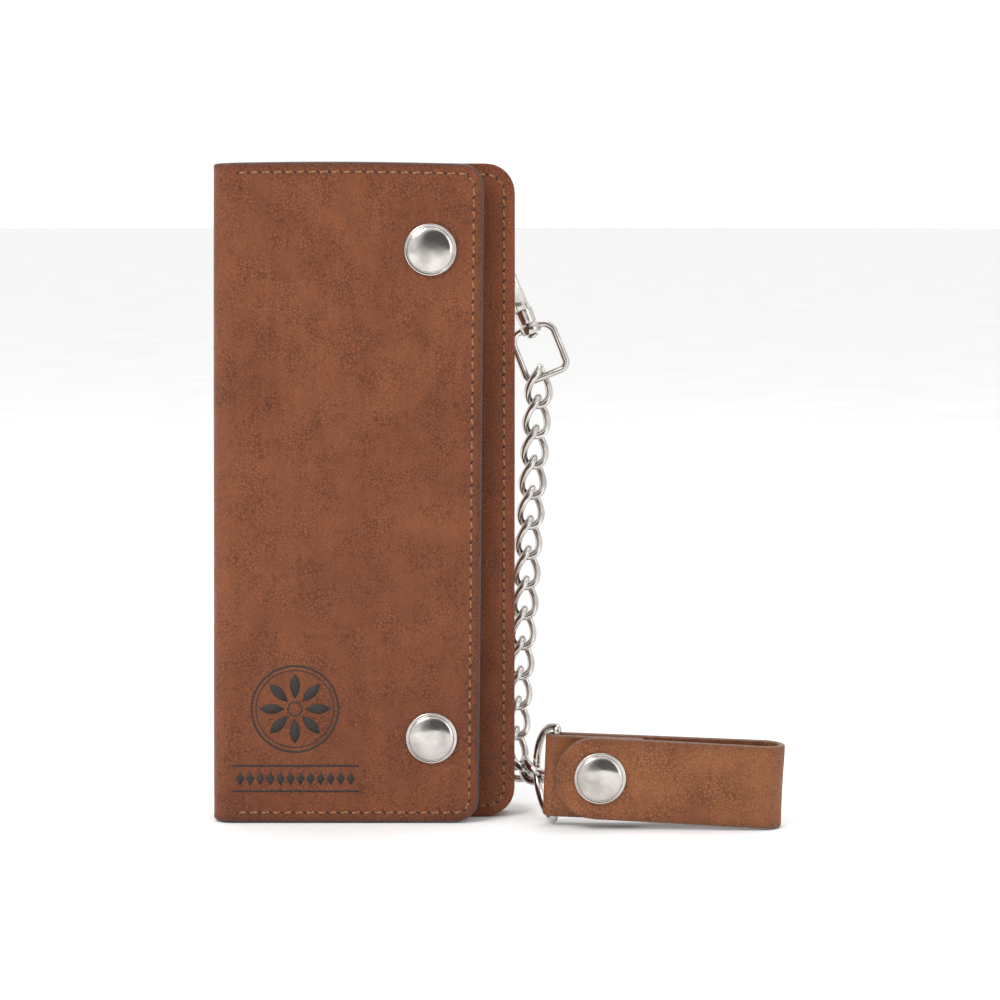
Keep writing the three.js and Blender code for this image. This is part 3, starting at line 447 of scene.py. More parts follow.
# %% Other finishes
def thread_finish(name, colour, twist_mm=0.5):
    finish, nodes, links, shader, where = new_finish(name, 0.62)
    wave = nodes.new("ShaderNodeTexWave")
    wave.bands_direction = "DIAGONAL"
    wave.inputs["Scale"].default_value = 1000.0 / twist_mm / 6
    wave.inputs["Distortion"].default_value = 1.0
    links.new(where, wave.inputs["Vector"])
    tone = two_tone(nodes, links, wave.outputs["Fac"], colour, 0.62, 1.15, (0.0, 1.0))
    links.new(tone, shader.inputs["Base Color"])
    bumped(nodes, links, shader, [(wave.outputs["Fac"], 0.5, 0.08)])
    return finish


def metal_finish(name, colour, rough, tarnish, scratch_mm=2.4):
    finish, nodes, links, shader, where = new_finish(name, rough, 1.0)
    drift = noise(nodes, links, where, 5.5, 4.0)
    scratch = noise(nodes, links, where, scratch_mm, 6.0, 0.7, 1.5)
    tone = ramp(nodes, links, drift, [(0.3, tarnish), (0.62, colour)])
    links.new(tone, shader.inputs["Base Color"])
    links.new(spread(nodes, links, drift, 0.3, 0.7, rough + 0.1, rough - 0.04), shader.inputs["Roughness"])
    bumped(nodes, links, shader, [(drift, 0.1, 0.3), (scratch, 0.08, 0.05)])
    return finish


thread = thread_finish("thread", (0.3, 0.125, 0.045))
nickel = metal_finish("nickel", (0.62, 0.59, 0.56), 0.13, (0.42, 0.39, 0.365))
brass = metal_finish("brass", (0.6, 0.4, 0.17), 0.28, (0.4, 0.25, 0.1))


def plain_dark(name, colour, rough, weave_mm):
    finish, nodes, links, shader, where = new_finish(name, rough)
    weave = noise(nodes, links, where, weave_mm, 3.0)
    links.new(two_tone(nodes, links, weave, colour, 0.6, 1.3), shader.inputs["Base Color"])
    bumped(nodes, links, shader, [(weave, 0.5, 0.1)])
    return finish


# painted shade: the stitch holes are coloured dark to stand in for the shade inside them
painted_hole_shade = plain_dark("painted_hole_shade", (0.03, 0.014, 0.009), 0.8, 0.6)
scorched = plain_dark("scorched", (0.022, 0.017, 0.015), 0.7, 0.9)
zip_cloth = plain_dark("zip_cloth", (0.045, 0.028, 0.019), 0.9, 0.5)
print("finishes:", len(bpy.data.materials))

# %% [markdown]
# ## The cover
# The cover is one piece of leather with two folds. The assembly has a hinge at each fold, so the skin
# is made as two sheets that meet on the middle of the spine, where nothing bends; neither sheet is tied
# to a body here. The spine's ends are rubbed in a little, and the panels belly out slightly.

# %% Cover
RUB_REACH, RUBBED_UP, RUBBED_DOWN = 7.0, 0.7, 0.5  # round the spine's lower and upper ends
ARCH_REACH = 78.0  # from the spine to where the arch has come down again


def rubbed(s_spine, top_arch):
    """Lifts the ends of the sheet near the spine, and arches its upper edge."""
    def lift(s, z):
        near = math.exp(-(((s - s_spine) / RUB_REACH) ** 2))
        up = z / HEIGHT
        arch = top_arch / 2 * math.sin(math.pi * min(abs(s - s_spine) / ARCH_REACH, 1)) * up
        return near * (RUBBED_UP * (1 - up) ** 6 - RUBBED_DOWN * up**6) + arch
    return lift


def belly(amount, phase):
    """Slow waves outwards, which die away towards the upper and lower edges."""
    def out(s, z):
        ease = min(1.0, max(0.0, min(z, HEIGHT - z) / 30.0))
        return ease * amount * (0.5 + 0.5 * math.sin(z / 31.0 + phase) * math.cos(s / 23.0 + phase))
    return out


LEAN = 0.009  # the closed flap has slipped this share of its height to one side
SPINE_MIDDLE = (FOLD_X - FOLD, (BACK_FOLD_Y + FRONT_FOLD_Y) / 2)
back_path = [
    line((RIGHT, 0), (FOLD_X, 0)),
    bend((FOLD_X, BACK_FOLD_Y), FOLD, 90, 180),
    line((FOLD_X - FOLD, BACK_FOLD_Y), SPINE_MIDDLE, 1.5),
]
flap_path = [
    line(SPINE_MIDDLE, (FOLD_X - FOLD, FRONT_FOLD_Y), 1.5),
    bend((FOLD_X, FRONT_FOLD_Y), FOLD, 180, 270),
    line((FOLD_X, FRONT + LEATHER / 2), (FLAP_EDGE, FRONT + LEATHER / 2)),
]
back_sheet = Sheet(
    back_path, HEIGHT, (CORNER, None), lift=rubbed(93.0, 0.0), bulge=belly(0.15, 0.3),
    lean=lambda s, z: LEAN * (z - HEIGHT / 2) * min(1.0, s / 80),
)
flap_sheet = Sheet(
    flap_path, HEIGHT, (None, FLAP_CORNER), lift=rubbed(0.0, 1.1), bulge=belly(0.15, 1.1),
    lean=lambda s, z: LEAN * (z - HEIGHT / 2),
)
back_skin = back_sheet.build("cover_back_half", cover_leather, edge_paint, slot="cover_leather")
flap_skin = flap_sheet.build("cover_flap_half", cover_leather, edge_paint, slot="cover_leather")
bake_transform(back_skin)
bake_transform(flap_skin)
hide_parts("back_cover", "spine")
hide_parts("front_flap")
print("cover laid flat:", HEIGHT, "x", round(back_sheet.length + flap_sheet.length, 1), "mm")

# %% [markdown]
# ## Stitches one by one
# A saddle stitch is a short length of thread between two holes, pulled down into the leather and a
# little aslant. Each one is a small capsule, and each hole a dimple coloured dark as painted shade. A run
# is planned flat on the pattern, then the sheet bends it into place, exactly as the leather does.

# %% Stitching
def run_along(corners, pitch):
    """Points a pitch apart along a polyline, with its direction at each."""
    p = np.array(corners, float)
    s = np.concatenate([[0], np.cumsum(np.linalg.norm(np.diff(p, axis=0), axis=1))])
    count = int(s[-1] / pitch)
    at = (np.arange(count) + 0.5) * s[-1] / count
    places = np.stack([np.interp(at, s, p[:, k]) for k in (0, 1)], 1)
    ahead = np.stack([np.interp(at + 0.4, s, p[:, k]) for k in (0, 1)], 1)
    way = ahead - places
    way[-1] = way[-2]
    return places, way / np.linalg.norm(way, axis=1)[:, None]


def inset_outline(length, height, radius, inset, start=0.0):
    """From the joined end along the lower edge, round the free end, and back along the upper edge."""
    r = radius - inset
    low = [(length - radius + r * math.sin(a), radius - r * math.cos(a)) for a in np.radians(range(0, 91, 9))]
    high = [(s, height - z) for s, z in reversed(low)]
    return [(start, inset)] + low + high + [(start, height - inset)]


THREAD_SHAPE = ((-1, 0.35), (-0.8, 0.85), (-0.3, 1.0), (0.3, 1.0), (0.8, 0.85), (1, 0.35))
THREAD_DIP = 0.22  # how far the ends of a stitch are pulled down
THREAD_FLAT = 0.75  # its height as a share of its width


def capsule(centre, along, side, out, length, radius):
    points, faces = [], []
    for t, r in THREAD_SHAPE:
        for a in np.radians(range(0, 360, 60)):
            across = radius * r * math.cos(a)
            up = radius * r * math.sin(a) * THREAD_FLAT - THREAD_DIP * t * t
            points.append(centre + along * (t * length / 2) + side * across + out * up)
    for ring in range(5):
        for k in range(6):
            a, b = ring * 6 + k, ring * 6 + (k + 1) % 6
            faces.append((a, b, b + 6, a + 6))
    faces += [tuple(reversed(range(6))), tuple(range(30, 36))]
    return points, faces


def dimple(centre, along, side, out, radius):
    points = [centre + out * 0.05]
    for k in range(8):
        a = math.tau * k / 8
        points.append(centre + along * (radius * math.cos(a)) + side * (radius * math.sin(a)) - out * 0.02)
    return points, [(0, 1 + k, 1 + (k + 1) % 8) for k in range(8)]


def stitch(name, sheet, outline, pitch, body, face=1, length=2.5, radius=0.33, slant=7):
    places, ways = run_along(outline, pitch)
    threads, holes = [], []
    turn = math.radians(slant)
    for (s, z), (ds, dz) in zip(places, ways):
        ds, dz = ds * math.cos(turn) - dz * math.sin(turn), ds * math.sin(turn) + dz * math.cos(turn)
        height = face * (sheet.half + 0.1)
        p = sheet.point(s, z, height)
        along = (sheet.point(s + ds * 0.3, z + dz * 0.3, height) - p).normalized()
        out = (sheet.point(s, z, height + face) - p).normalized()
        side = out.cross(along)
        wobble = 1 + rng.normal(0, 0.04)
        threads.append(capsule(p, along, side, out, length * wobble, radius))
        for end in (-1, 1):
            holes.append(dimple(p + along * (end * (length / 2 + 0.12)) - out * 0.06, along, side, out, 0.36))
    points, faces = gather(threads)
    make_piece(name, points, faces, [thread], body)
    # the hole dimples carry painted shade, not a colour of the leather
    points, faces = gather(holes)
    make_piece(name + "_holes", points, faces, [painted_hole_shade], body)


FLAP_PITCH, BACK_PITCH = 3.3, 3.0  # from one stitch to the next
STITCHED_FROM = 13.5  # from the middle of the spine
flap_outline = inset_outline(flap_sheet.length, HEIGHT, FLAP_CORNER, 2.9, STITCHED_FROM)
stitch("flap_stitching", flap_sheet, flap_outline, FLAP_PITCH, "flap")
stitch("flap_stitching_inside", flap_sheet, flap_outline, FLAP_PITCH, "flap", -1)
back_outline = inset_outline(back_sheet.length, HEIGHT, CORNER, 3.0, STITCHED_FROM)
back_outline = [(back_sheet.length - s, z) for s, z in back_outline]
stitch("back_stitching", back_sheet, back_outline, BACK_PITCH, "back", slant=-9)
print("stitches on the flap:", len(run_along(flap_outline, FLAP_PITCH)[0]))

# %% [markdown]
# ## A burnt-in ornament
# The lower part of the flap carries a simple burnt-in pattern: two rules with a row of lozenges
# between them, and a ring with a plain eight-petal rosette above. Each mark is a thin patch of
# scorched leather that follows the flap, so it moves with it.

# %% Ornament
ABOVE, BELOW = 0.06, -0.1  # a mark's face and the foot of its rim, from the leather's face


def on_flap(x, z, out=ABOVE):
    s = flap_sheet.length - (FLAP_EDGE - x)
    return flap_sheet.point(s, z, flap_sheet.half + out)


def patch(outline):
    """A flat mark with a rim that reaches just into the leather."""
    centre = np.mean(np.array(outline), axis=0)
    top = [on_flap(*centre)] + [on_flap(x, z) for x, z in outline]
    low = [on_flap(x, z, BELOW) for x, z in outline]
    n = len(outline)
    faces = [(0, 1 + k, 1 + (k + 1) % n) for k in range(n)]
    faces += [(1 + k, 1 + n + k, 1 + n + (k + 1) % n, 1 + (k + 1) % n) for k in range(n)]
    return top + low, faces


def hoop(x, z, radius, width, sides=72):
    points, faces = [], []
    inner, outer = radius - width / 2, radius + width / 2
    for k in range(sides):
        c, s = math.cos(math.tau * k / sides), math.sin(math.tau * k / sides)
        for r, out in ((inner, BELOW), (inner, ABOVE), (outer, ABOVE), (outer, BELOW)):
            points.append(on_flap(x + r * c, z + r * s, out))
    for k in range(sides):
        for j in range(3):
            a, b = 4 * k + j, 4 * ((k + 1) % sides) + j
            faces.append((a, a + 1, b + 1, b))
    return points, faces


def bar(x0, x1, z, width):
    xs = np.linspace(x0, x1, 14)
    low, high = z - width / 2, z + width / 2
    return gather([patch([(a, low), (b, low), (b, high), (a, high)]) for a, b in zip(xs, xs[1:])])


RULE_ENDS, RULE_HEIGHTS, RULE_WIDTH = (-38.0, -1.0), (16.7, 9.2), 0.55
LOZENGE_Z, LOZENGE_HALF_WIDTH, LOZENGE_HALF_HEIGHT = 12.95, 1.2, 2.0
ROSETTE_X, ROSETTE_Z = -19.7, 33.4
PETAL = [(2.9, 0), (5.0, 1.15), (7.0, 1.5), (8.8, 1.05), (10.3, 0), (8.8, -1.05), (7.0, -1.5), (5.0, -1.15)]
marks = [bar(*RULE_ENDS, z, RULE_WIDTH) for z in RULE_HEIGHTS]
for x in np.linspace(-35.6, -3.4, 12):
    left, right = (x - LOZENGE_HALF_WIDTH, LOZENGE_Z), (x + LOZENGE_HALF_WIDTH, LOZENGE_Z)
    low, high = (x, LOZENGE_Z - LOZENGE_HALF_HEIGHT), (x, LOZENGE_Z + LOZENGE_HALF_HEIGHT)
    marks.append(patch([left, low, right, high]))
marks += [hoop(ROSETTE_X, ROSETTE_Z, *ring) for ring in ((12.6, 0.55), (11.3, 0.3), (2.0, 0.4))]
for k in range(8):
    c, s = math.cos(math.tau * k / 8), math.sin(math.tau * k / 8)
    petal = [(ROSETTE_X + t * c - w * s, ROSETTE_Z + t * s + w * c) for t, w in PETAL]
    marks.append(patch(petal))
points, faces = gather(marks)
make_piece("flap_ornament", points, faces, [scorched], "flap")
print("marks:", len(marks))

# %% [markdown]
# ## Flat inner leather
# The pocket leathers stay flat, so a filled curve with a small bevel is enough: it gives clean holes
# and rounded cut edges at once. The outline runs anticlockwise and each hole clockwise, which tells
# the bevel which side the leather is on.

# %% Inner leather
def rounded_box(x0, x1, z0, z1, radii, steps=6):
    """Anticlockwise from the lower left corner. radii: lower left, lower right, upper right, upper left."""
    points = []
    corners = [(x0, z0, 1, 1, 180), (x1, z0, -1, 1, 270), (x1, z1, -1, -1, 0), (x0, z1, 1, -1, 90)]
    for (x, z, sx, sz, start), r in zip(corners, radii):
        count = steps if r > 0 else 0
        for k in range(count + 1):
            a = math.radians(start + 90 * (k / count if count else 0))
            points.append((x + sx * r + r * math.cos(a), z + sz * r + r * math.sin(a)) if r else (x, z))
    return points


def flat_leather(name, outline, holes, front, back, body, node, finish, slot, edge=0.25):
    curve = bpy.data.curves.new(name + "_pattern", "CURVE")
    curve.dimensions, curve.fill_mode = "2D", "BOTH"
    edge = min(edge, (back - front) * 0.4)
    curve.extrude, curve.bevel_depth, curve.bevel_resolution = ((back - front) / 2 - edge) * MM, edge * MM, 2
    curve.offset = -edge * MM
    for ring in [outline] + [list(reversed(hole)) for hole in holes]:
        spline = curve.splines.new("POLY")
        spline.points.add(len(ring) - 1)
        for p, (x, z) in zip(spline.points, ring):
            p.co = (x * MM, z * MM, 0, 1)
        spline.use_cyclic_u = True
    pattern = bpy.data.objects.new(name + "_pattern", curve)
    mesh = bpy.data.meshes.new_from_object(pattern)
    bpy.data.objects.remove(pattern)
    mesh.name = name
    upright = Matrix.Rotation(math.pi / 2, 4, "X")
    mesh.transform(Matrix.Translation((0, (front + back) / 2 * MM, 0)) @ upright)
    mesh.materials.clear()
    mesh.materials.append(finish)
    piece = bpy.data.objects.new(name, mesh)
    bpy.context.scene.collection.objects.link(piece)
    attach(piece, body)
    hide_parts(node)


def round_hole(x, z, radius, sides=24):
    turns = [math.tau * k / sides for k in range(sides)]
    return [(x + radius * math.cos(a), z + radius * math.sin(a)) for a in turns]


RIM = 3.0  # width of the welt and the gusset along the pocket's edges
PANEL = rounded_box(FOLD_X, RIGHT, 0, HEIGHT, (0, CORNER, CORNER, 0))
snap_holes = [round_hole(SNAP_X, z, 1.7) for z in SNAP_HEIGHTS]
zip_slot = rounded_box(ZIP_X - 3, ZIP_X + 3, 22, 172, (1, 1, 1, 1), 3)
leathers = (lining_leather, "lining_leather")
CARD_LEFT, CARD_LOW, CARD_HIGH, CARD_REACHES = -36, 8, 148, (12, 6, 0)
CARD_LEATHER, CARD_STEP = 0.8, 1.1
for k, reach in enumerate(CARD_REACHES):
    near = FRONT + 2.1 + CARD_STEP * k
    name = f"card_panel_{k + 1}"
    card = rounded_box(CARD_LEFT, reach, CARD_LOW, CARD_HIGH, (0, 2, 2, 0), 4)
    flat_leather("leather_" + name, card, [], near, near + CARD_LEATHER, "flap", name, *leathers)
inner = rounded_box(FOLD_X + RIM, RIGHT - RIM, RIM, HEIGHT - RIM, (0, CORNER - RIM, CORNER - RIM, 0))
coin_layers = (
    ("front", [zip_slot] + snap_holes, 9, 10.2),
    ("welt", [inner], 10.5, 12.1),
    ("back", [], 12.4, 13.2),
)
for word, holes, near, far in coin_layers:
    node = "coin_pocket_" + word
    flat_leather("leather_coin_" + word, PANEL, holes, FRONT + near, FRONT + far, "back", node, *leathers)
throat = rounded_box(FOLD_X + RIM, RIGHT - RIM, RIM, HEIGHT, (0, CORNER - RIM, 0, 0))
throat = [p for p in throat if p[1] < 60]
low_corner = [p for p in PANEL if p[0] > 30 and p[1] < 60]
high_corner = [p for p in PANEL if p[0] > RIGHT - RIM and p[1] > 60]
gusset = [(FOLD_X, 0)] + low_corner + high_corner + [(RIGHT - RIM, HEIGHT - 2)] + list(reversed(throat))
gusset += [(FOLD_X + RIM, HEIGHT), (FOLD_X, HEIGHT)]
back_layers = (FRONT + 13.5, FRONT + 17.9, "back", "bill_gusset")
flat_leather("leather_bill_gusset", gusset, [], *back_layers, *leathers, edge=0.7)
divider = rounded_box(-35.3, RIGHT - 3.3, 3.3, HEIGHT - 5, (0, 5.2, 5.2, 0))
back_layers = (FRONT + 15.3, FRONT + 16.1, "back", "bill_divider")
flat_leather("leather_bill_divider", divider, [], *back_layers, *leathers)

pocket_face = FRONT + 9.6
inside = Sheet([line((FOLD_X, pocket_face), (RIGHT, pocket_face))], HEIGHT, (None, CORNER), thickness=1.2)
inside_outline = inset_outline(inside.length, HEIGHT, CORNER, 3.2, 2.0)
stitch("inside_stitching", inside, inside_outline, BACK_PITCH, "back", length=2.3)

# %% [markdown]
# ## The coin pocket's zip
# Teeth are pressed on to the edge of a woven tape, staggered by half a step so that the two rows can
# mesh. A hundred small blocks per row is cheap, and light catches each one.

# %% Zip
def block(x0, x1, y0, y1, z0, z1, bite=0.22):
    """A box with its front edges taken off."""
    points = []
    for y, cut in ((y0, bite), (y0 + bite, 0), (y1, 0)):
        corners = ((x0 + cut, z0 + cut), (x1 - cut, z0 + cut), (x1 - cut, z1 - cut), (x0 + cut, z1 - cut))
        points += [(x, y, z) for x, z in corners]
    faces = [(0, 1, 2, 3), (11, 10, 9, 8)]
    for ring in (0, 4):
        for k in range(4):
            a, b = ring + k, ring + (k + 1) % 4
            faces.append((b, a, a + 4, b + 4))
    return points, faces


TEETH, TOOTH_STEP, TOOTH_HEIGHT = 99, 1.5, 0.85
for side, word in ((-1, "left"), (1, "right")):
    near, far = sorted((ZIP_X + side * 1.2, ZIP_X + side * 9))
    tape = rounded_box(near, far, 16, 178, (0.5,) * 4, 2)
    cloth = (FRONT + 10.5, FRONT + 11.1, "back", "zip_tape_" + word, zip_cloth, "zip_tape")
    flat_leather("tape_" + word, tape, [], *cloth, 0.1)
    near, far = sorted((ZIP_X + side * 0.6, ZIP_X + side * 2.0))
    stagger = TOOTH_STEP / 2 if side > 0 else 0
    levels = [22.4 + TOOTH_STEP * k + stagger for k in range(TEETH)]
    teeth = [block(near, far, FRONT + 9.4, FRONT + 11.0, z, z + TOOTH_HEIGHT) for z in levels]
    points, faces = gather(teeth)
    row = make_piece("zip_teeth_" + word, points, faces, [brass], "back", slot="zip_brass")
    row.data.polygons.foreach_set("use_smooth", [False] * len(faces))


def soften(piece, width, angle):
    """Rounds the corners sharper than an angle when the piece is drawn."""
    bevel = piece.modifiers.new("edges", "BEVEL")
    bevel.width, bevel.segments = width * MM, 2
    bevel.limit_method, bevel.angle_limit = "ANGLE", math.radians(angle)
    piece.modifiers.new("normals", "WEIGHTED_NORMAL")


def carried(node, finish, bevel=0.0):
    """A CAD node that is fine as it is, with a finish and softened edges."""
    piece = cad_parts[node]
    piece.data.materials.clear()
    piece.data.materials.append(finish)
    if bevel:
        weld = piece.modifiers.new("weld", "WELD")
        weld.merge_threshold = 0.00001
        soften(piece, bevel, 35)


carried("zip_slider", brass, 0.2)
carried("zip_puller", brass, 0.2)
print("teeth in the zip:", 2 * TEETH)

# %% [markdown]
# ## Press studs
# The cap is a spun dome with a rolled rim, so its profile is turned round an axis. The socket, stud
# and post behind it are plain turned parts that only show when the wallet is open.

# %% Studs
def turned(profile, sides=64, place=None):
    """Spins (radius, height) pairs, listed from the top of the axis outwards and down."""
    place = place or Matrix.Identity(4)
    points, faces, rings = [], [], []
    for r, z in profile:
        if r == 0:
            rings.append([len(points)])
            points.append(place @ Vector((0, 0, z)))
            continue
        rings.append(list(range(len(points), len(points) + sides)))
        turns = [math.tau * k / sides for k in range(sides)]
        points += [place @ Vector((r * math.cos(a), r * math.sin(a), z)) for a in turns]
    for up, low in zip(rings, rings[1:]):
        for k in range(sides):
            a, b = up[k % len(up)], up[(k + 1) % len(up)]
            c, d = low[k % len(low)], low[(k + 1) % len(low)]
            faces.append(tuple(dict.fromkeys((a, c, d, b))))
    return points, faces


DOME_RADIUS, DOME_RISE, DOME_FOOT = 6.55, 1.35, 1.05
dome = [
    (DOME_RADIUS * math.sin(math.radians(a)), DOME_FOOT + DOME_RISE * math.cos(math.radians(a)))
    for a in range(0, 91, 6)
]
rolled_rim = [
    (6.6, 0.95), (6.72, 0.86), (6.9, 0.95), (7.15, 1.02), (7.38, 0.92),
    (7.5, 0.68), (7.5, 0.3), (7.42, 0.05), (7.2, -0.1), (0, -0.1),
]
CAP = dome + rolled_rim
OUTWARD = Matrix.Rotation(math.pi / 2, 4, "X")


def snap(name, place, body):
    points, faces = turned(CAP, place=place @ OUTWARD)
    make_piece("cap_" + name, points, faces, [nickel], body, [name + "_cap"], "nickel")
    for part in ("socket", "stud", "post"):
        carried(f"{name}_{part}", nickel)


for word, z in zip(("lower", "upper"), SNAP_HEIGHTS):
    snap(word + "_snap", Matrix.Translation((SNAP_X, FRONT, z)), "flap")
print("cap diameter:", 2 * max(r for r, z in CAP), "mm")

# %% [markdown]
# ## Bent wire
# Rings, eyes and links are all wire bent to a line. `sweep` carries a round section along a path. Its
# `across` direction keeps the section from twisting, and corners are filleted the way a bending jig
# leaves them.

# %% Wire
def filleted(points, radius, steps=6):
    """A closed path with its corners rounded."""
    out = []
    n = len(points)
    for k in range(n):
        before, here, after = Vector(points[k - 1]), Vector(points[k]), Vector(points[(k + 1) % n])
        one, two = (before - here), (after - here)
        reach = min(radius, one.length * 0.49, two.length * 0.49)
        a, b = here + one.normalized() * reach, here + two.normalized() * reach
        for i in range(steps + 1):
            t = i / steps
            out.append(a * (1 - t) ** 2 + here * 2 * t * (1 - t) + b * t**2)
    return [p for k, p in enumerate(out) if (p - out[k - 1]).length > 1e-3]


def sweep(path, radius, across, sides=16, closed=True, flat=1.0, square=1.0):
    """across is one direction or one per point. square below 1 makes the section boxier."""
    n = len(path)
    points, faces = [], []
    for k, p in enumerate(path):
        p = Vector(p)
        ahead = Vector(path[(k + 1) % n]) if closed or k < n - 1 else p
        behind = Vector(path[k - 1]) if closed or k > 0 else p
        along = (ahead - behind).normalized()
        side = Vector(across[k] if isinstance(across, list) else across)
        side = (side - along * side.dot(along)).normalized()
        up = along.cross(side)
        r = radius[k] if isinstance(radius, list) else radius
        for j in range(sides):
            a = math.tau * j / sides
            c, s = math.cos(a), math.sin(a)
            c, s = math.copysign(abs(c) ** square, c), math.copysign(abs(s) ** square, s)
            points.append(p + side * (r * c) + up * (r * flat * s))
    for k in range(n if closed else n - 1):
        for j in range(sides):
            a, b = k * sides + j, k * sides + (j + 1) % sides
            c, d = ((k + 1) % n) * sides + j, ((k + 1) % n) * sides + (j + 1) % sides
            faces.append((a, c, d, b))
    if not closed:
        faces.append(tuple(range(sides)))
        faces.append(tuple(reversed(range((n - 1) * sides, n * sides))))
    return points, faces


def metal_piece(name, shape, body, node):
    """A closed nickel piece, with every face turned to look out."""
    piece = make_piece(name, *shape, [nickel], body, [node], "nickel")
    b = bmesh.new()
    b.from_mesh(piece.data)
    bmesh.ops.recalc_face_normals(b, faces=b.faces)
    b.to_mesh(piece.data)
    b.free()
    return piece


print("wire helper ready")

# %% [markdown]
# ## The chain's anchor
# A short tab is folded round the straight side of a D ring and riveted to the back cover. The tab is
# leather again, so it is one more `Sheet`, laid on its side by the matrix that places it.

# %% Anchor
BAR = Vector((34.5, 4.0, 181.0))
TAB_BEND, TAB_END_Z, TAB_WIDTH = 2.1, 163, 11
TIP = math.radians(66)  # how far the ring leans out from hanging straight down
ring_out = Vector((0, math.sin(TIP), -math.cos(TIP)))
side_on = Matrix(((0, 0, 1, 29.0), (1, 0, 0, 0), (0, 1, 0, 0), (0, 0, 0, 1)))
tab_path = [
    line((BAR.y + TAB_BEND, TAB_END_Z), (BAR.y + TAB_BEND, BAR.z)),
    bend((BAR.y, BAR.z), TAB_BEND, 0, 180, 15),
    line((BAR.y - TAB_BEND, BAR.z), (BAR.y - TAB_BEND, TAB_END_Z)),
]
tab = Sheet(tab_path, TAB_WIDTH, (1.2, 1.2), thickness=1.4, edge=0.3, place=side_on)
tab_ties = {"body": "back", "stands_for": ["ring_tab"], "slot": "cover_leather"}
tab.build("anchor_tab", cover_leather, edge_paint, 12, **tab_ties)
carried("ring_tab_rivet", nickel)

RING_HALF, RING_BOW_FROM, RING_CORNER, RING_WIRE = 7, 5, 1.6, 1.2
bow = [
    (RING_HALF * math.cos(math.radians(a)), RING_BOW_FROM + RING_HALF * math.sin(math.radians(a)))
    for a in range(0, 181, 6)
]
right = [
    (RING_HALF - RING_CORNER * (1 - math.cos(a)), RING_CORNER - RING_CORNER * math.sin(a))
    for a in np.radians(range(0, 91, 15))
]
left = [(-x, y) for x, y in right]
outline = bow + [(-RING_HALF, 2.2)] + left + list(reversed(right)) + [(RING_HALF, 2.2)]
ring_path = [BAR + Vector((x, 0, 0)) + ring_out * y for x, y in outline]
ring = sweep(ring_path, RING_WIRE, Vector((1, 0, 0)).cross(ring_out), 18)
metal_piece("anchor_d_ring", ring, "anchor_ring", "anchor_ring")
print("anchor tab laid flat:", TAB_WIDTH, "x", round(tab.length, 1), "mm")

# %% [markdown]
# ## The snap hook
# A cast hook is thicker than wire and has flat cheeks, so its section is a softened square. The block,
# neck and shank are turned or plated parts that run into each other, as they would in one casting.

# %% Hook
SWIVEL = Vector((48.285, 14.962, 141.998))
hook_place = Matrix.Translation(SWIVEL) @ Matrix.Rotation(math.radians(-22), 4, "Y")


def in_hook(x, y, z):
    return hook_place @ Vector((x, y, z))


HOOK_HALF, HOOK_CROWN = 5.1, 36.3  # half the bow's width, and the height of its upper arc's centre
bow = [(-1.0, 7.3), (-2.6, 9.4), (-4.2, 11.6), (-5.0, 13.6), (-HOOK_HALF, 16.0)]
bow += [(-HOOK_HALF, z) for z in (20.0, 26.0, 31.0)]
bow += [
    (HOOK_HALF * math.cos(math.radians(a)), HOOK_CROWN + HOOK_HALF * math.sin(math.radians(a)))
    for a in range(180, -1, -10)
]
bow += [(HOOK_HALF, 33.6), (HOOK_HALF, 31.4)]
thick = [1.75] * (len(bow) - 2) + [1.7, 1.6]
across = hook_place.to_3x3() @ Vector((0, 1, 0))
path = [in_hook(0, y, z) for y, z in bow]
sides = [hook_place.to_3x3() @ Vector((1, 0, 0))] * len(path)
parts = [sweep(path, [t * 1.28 for t in thick], sides, 20, False, 0.76, 0.72)]
neck = [(0, 6.6), (3.0, 6.3), (2.9, 5.0), (2.75, 3.2), (2.75, 2.2), (2.5, 1.75), (0, 1.7)]
shank = [(0, 2.6), (1.1, 2.6), (1.1, -1.72), (1.85, -1.78), (1.8, -2.1), (1.5, -2.6), (0.8, -2.78), (0, -2.8)]
parts += [turned(neck, 40, hook_place), turned(shank, 32, hook_place)]
foot = [(-3.3, 6.9), (-2.2, 5.6), (-0.6, 5.2), (2.0, 5.4)]
cheek = foot + [(4.3, 7.4), (5.0, 8.6), (5.0, 12.3), (4.2, 12.3), (1.4, 12.3), (-3.4, 12.6)]
web = foot + [(3.4, 6.6), (3.2, 7.6), (1.1, 8.0), (1.1, 12.3), (-3.4, 12.6)]
for outline, x0, x1 in ((cheek, -2.4, -1.42), (cheek, 1.42, 2.4), (web, -1.5, 1.5)):
    low = [in_hook(x0, y, z) for y, z in outline]
    high = [in_hook(x1, y, z) for y, z in outline]
    n = len(outline)
    walls = [(k, (k + 1) % n, n + (k + 1) % n, n + k) for k in range(n)]
    parts.append((low + high, walls + [tuple(reversed(range(n))), tuple(range(n, 2 * n))]))
shape = gather(parts)
soften(metal_piece("snap_hook", shape, "hook", "hook_body"), 0.25, 50)
in_line = [(hook_place.inverted() @ Vector(p)).z for p in shape[0]]
print("hook from end to end:", round(max(in_line) - min(in_line), 1), "mm")
carried("hook_gate", nickel, 0.2)
carried("gate_pin", nickel)
carried("gate_spring", nickel)

EYE_WIRE = 1.1
eye = [(2.8, 0.35), (4.8, 0), (6.4, -2.2), (6.4, -13.2), (5.0, -14.6)]
eye = [(x, 0, z) for x, z in eye] + [(-x, 0, z) for x, z in reversed(eye)]
eye_path = [hook_place @ p for p in filleted(eye, 0.9)]
boss = [(1.45, 1.4), (2.8, 1.4), (3.1, 1.15), (3.1, -1.15), (2.8, -1.4), (1.45, -1.4), (1.45, 1.4)]
shape = gather([sweep(eye_path, EYE_WIRE, across, 18), turned(boss, 40, hook_place)])
metal_piece("hook_eye", shape, "swivel_eye", "swivel_eye")
print("eye's width:", round(2 * (max(x for x, y, z in eye) + EYE_WIRE), 1), "mm")

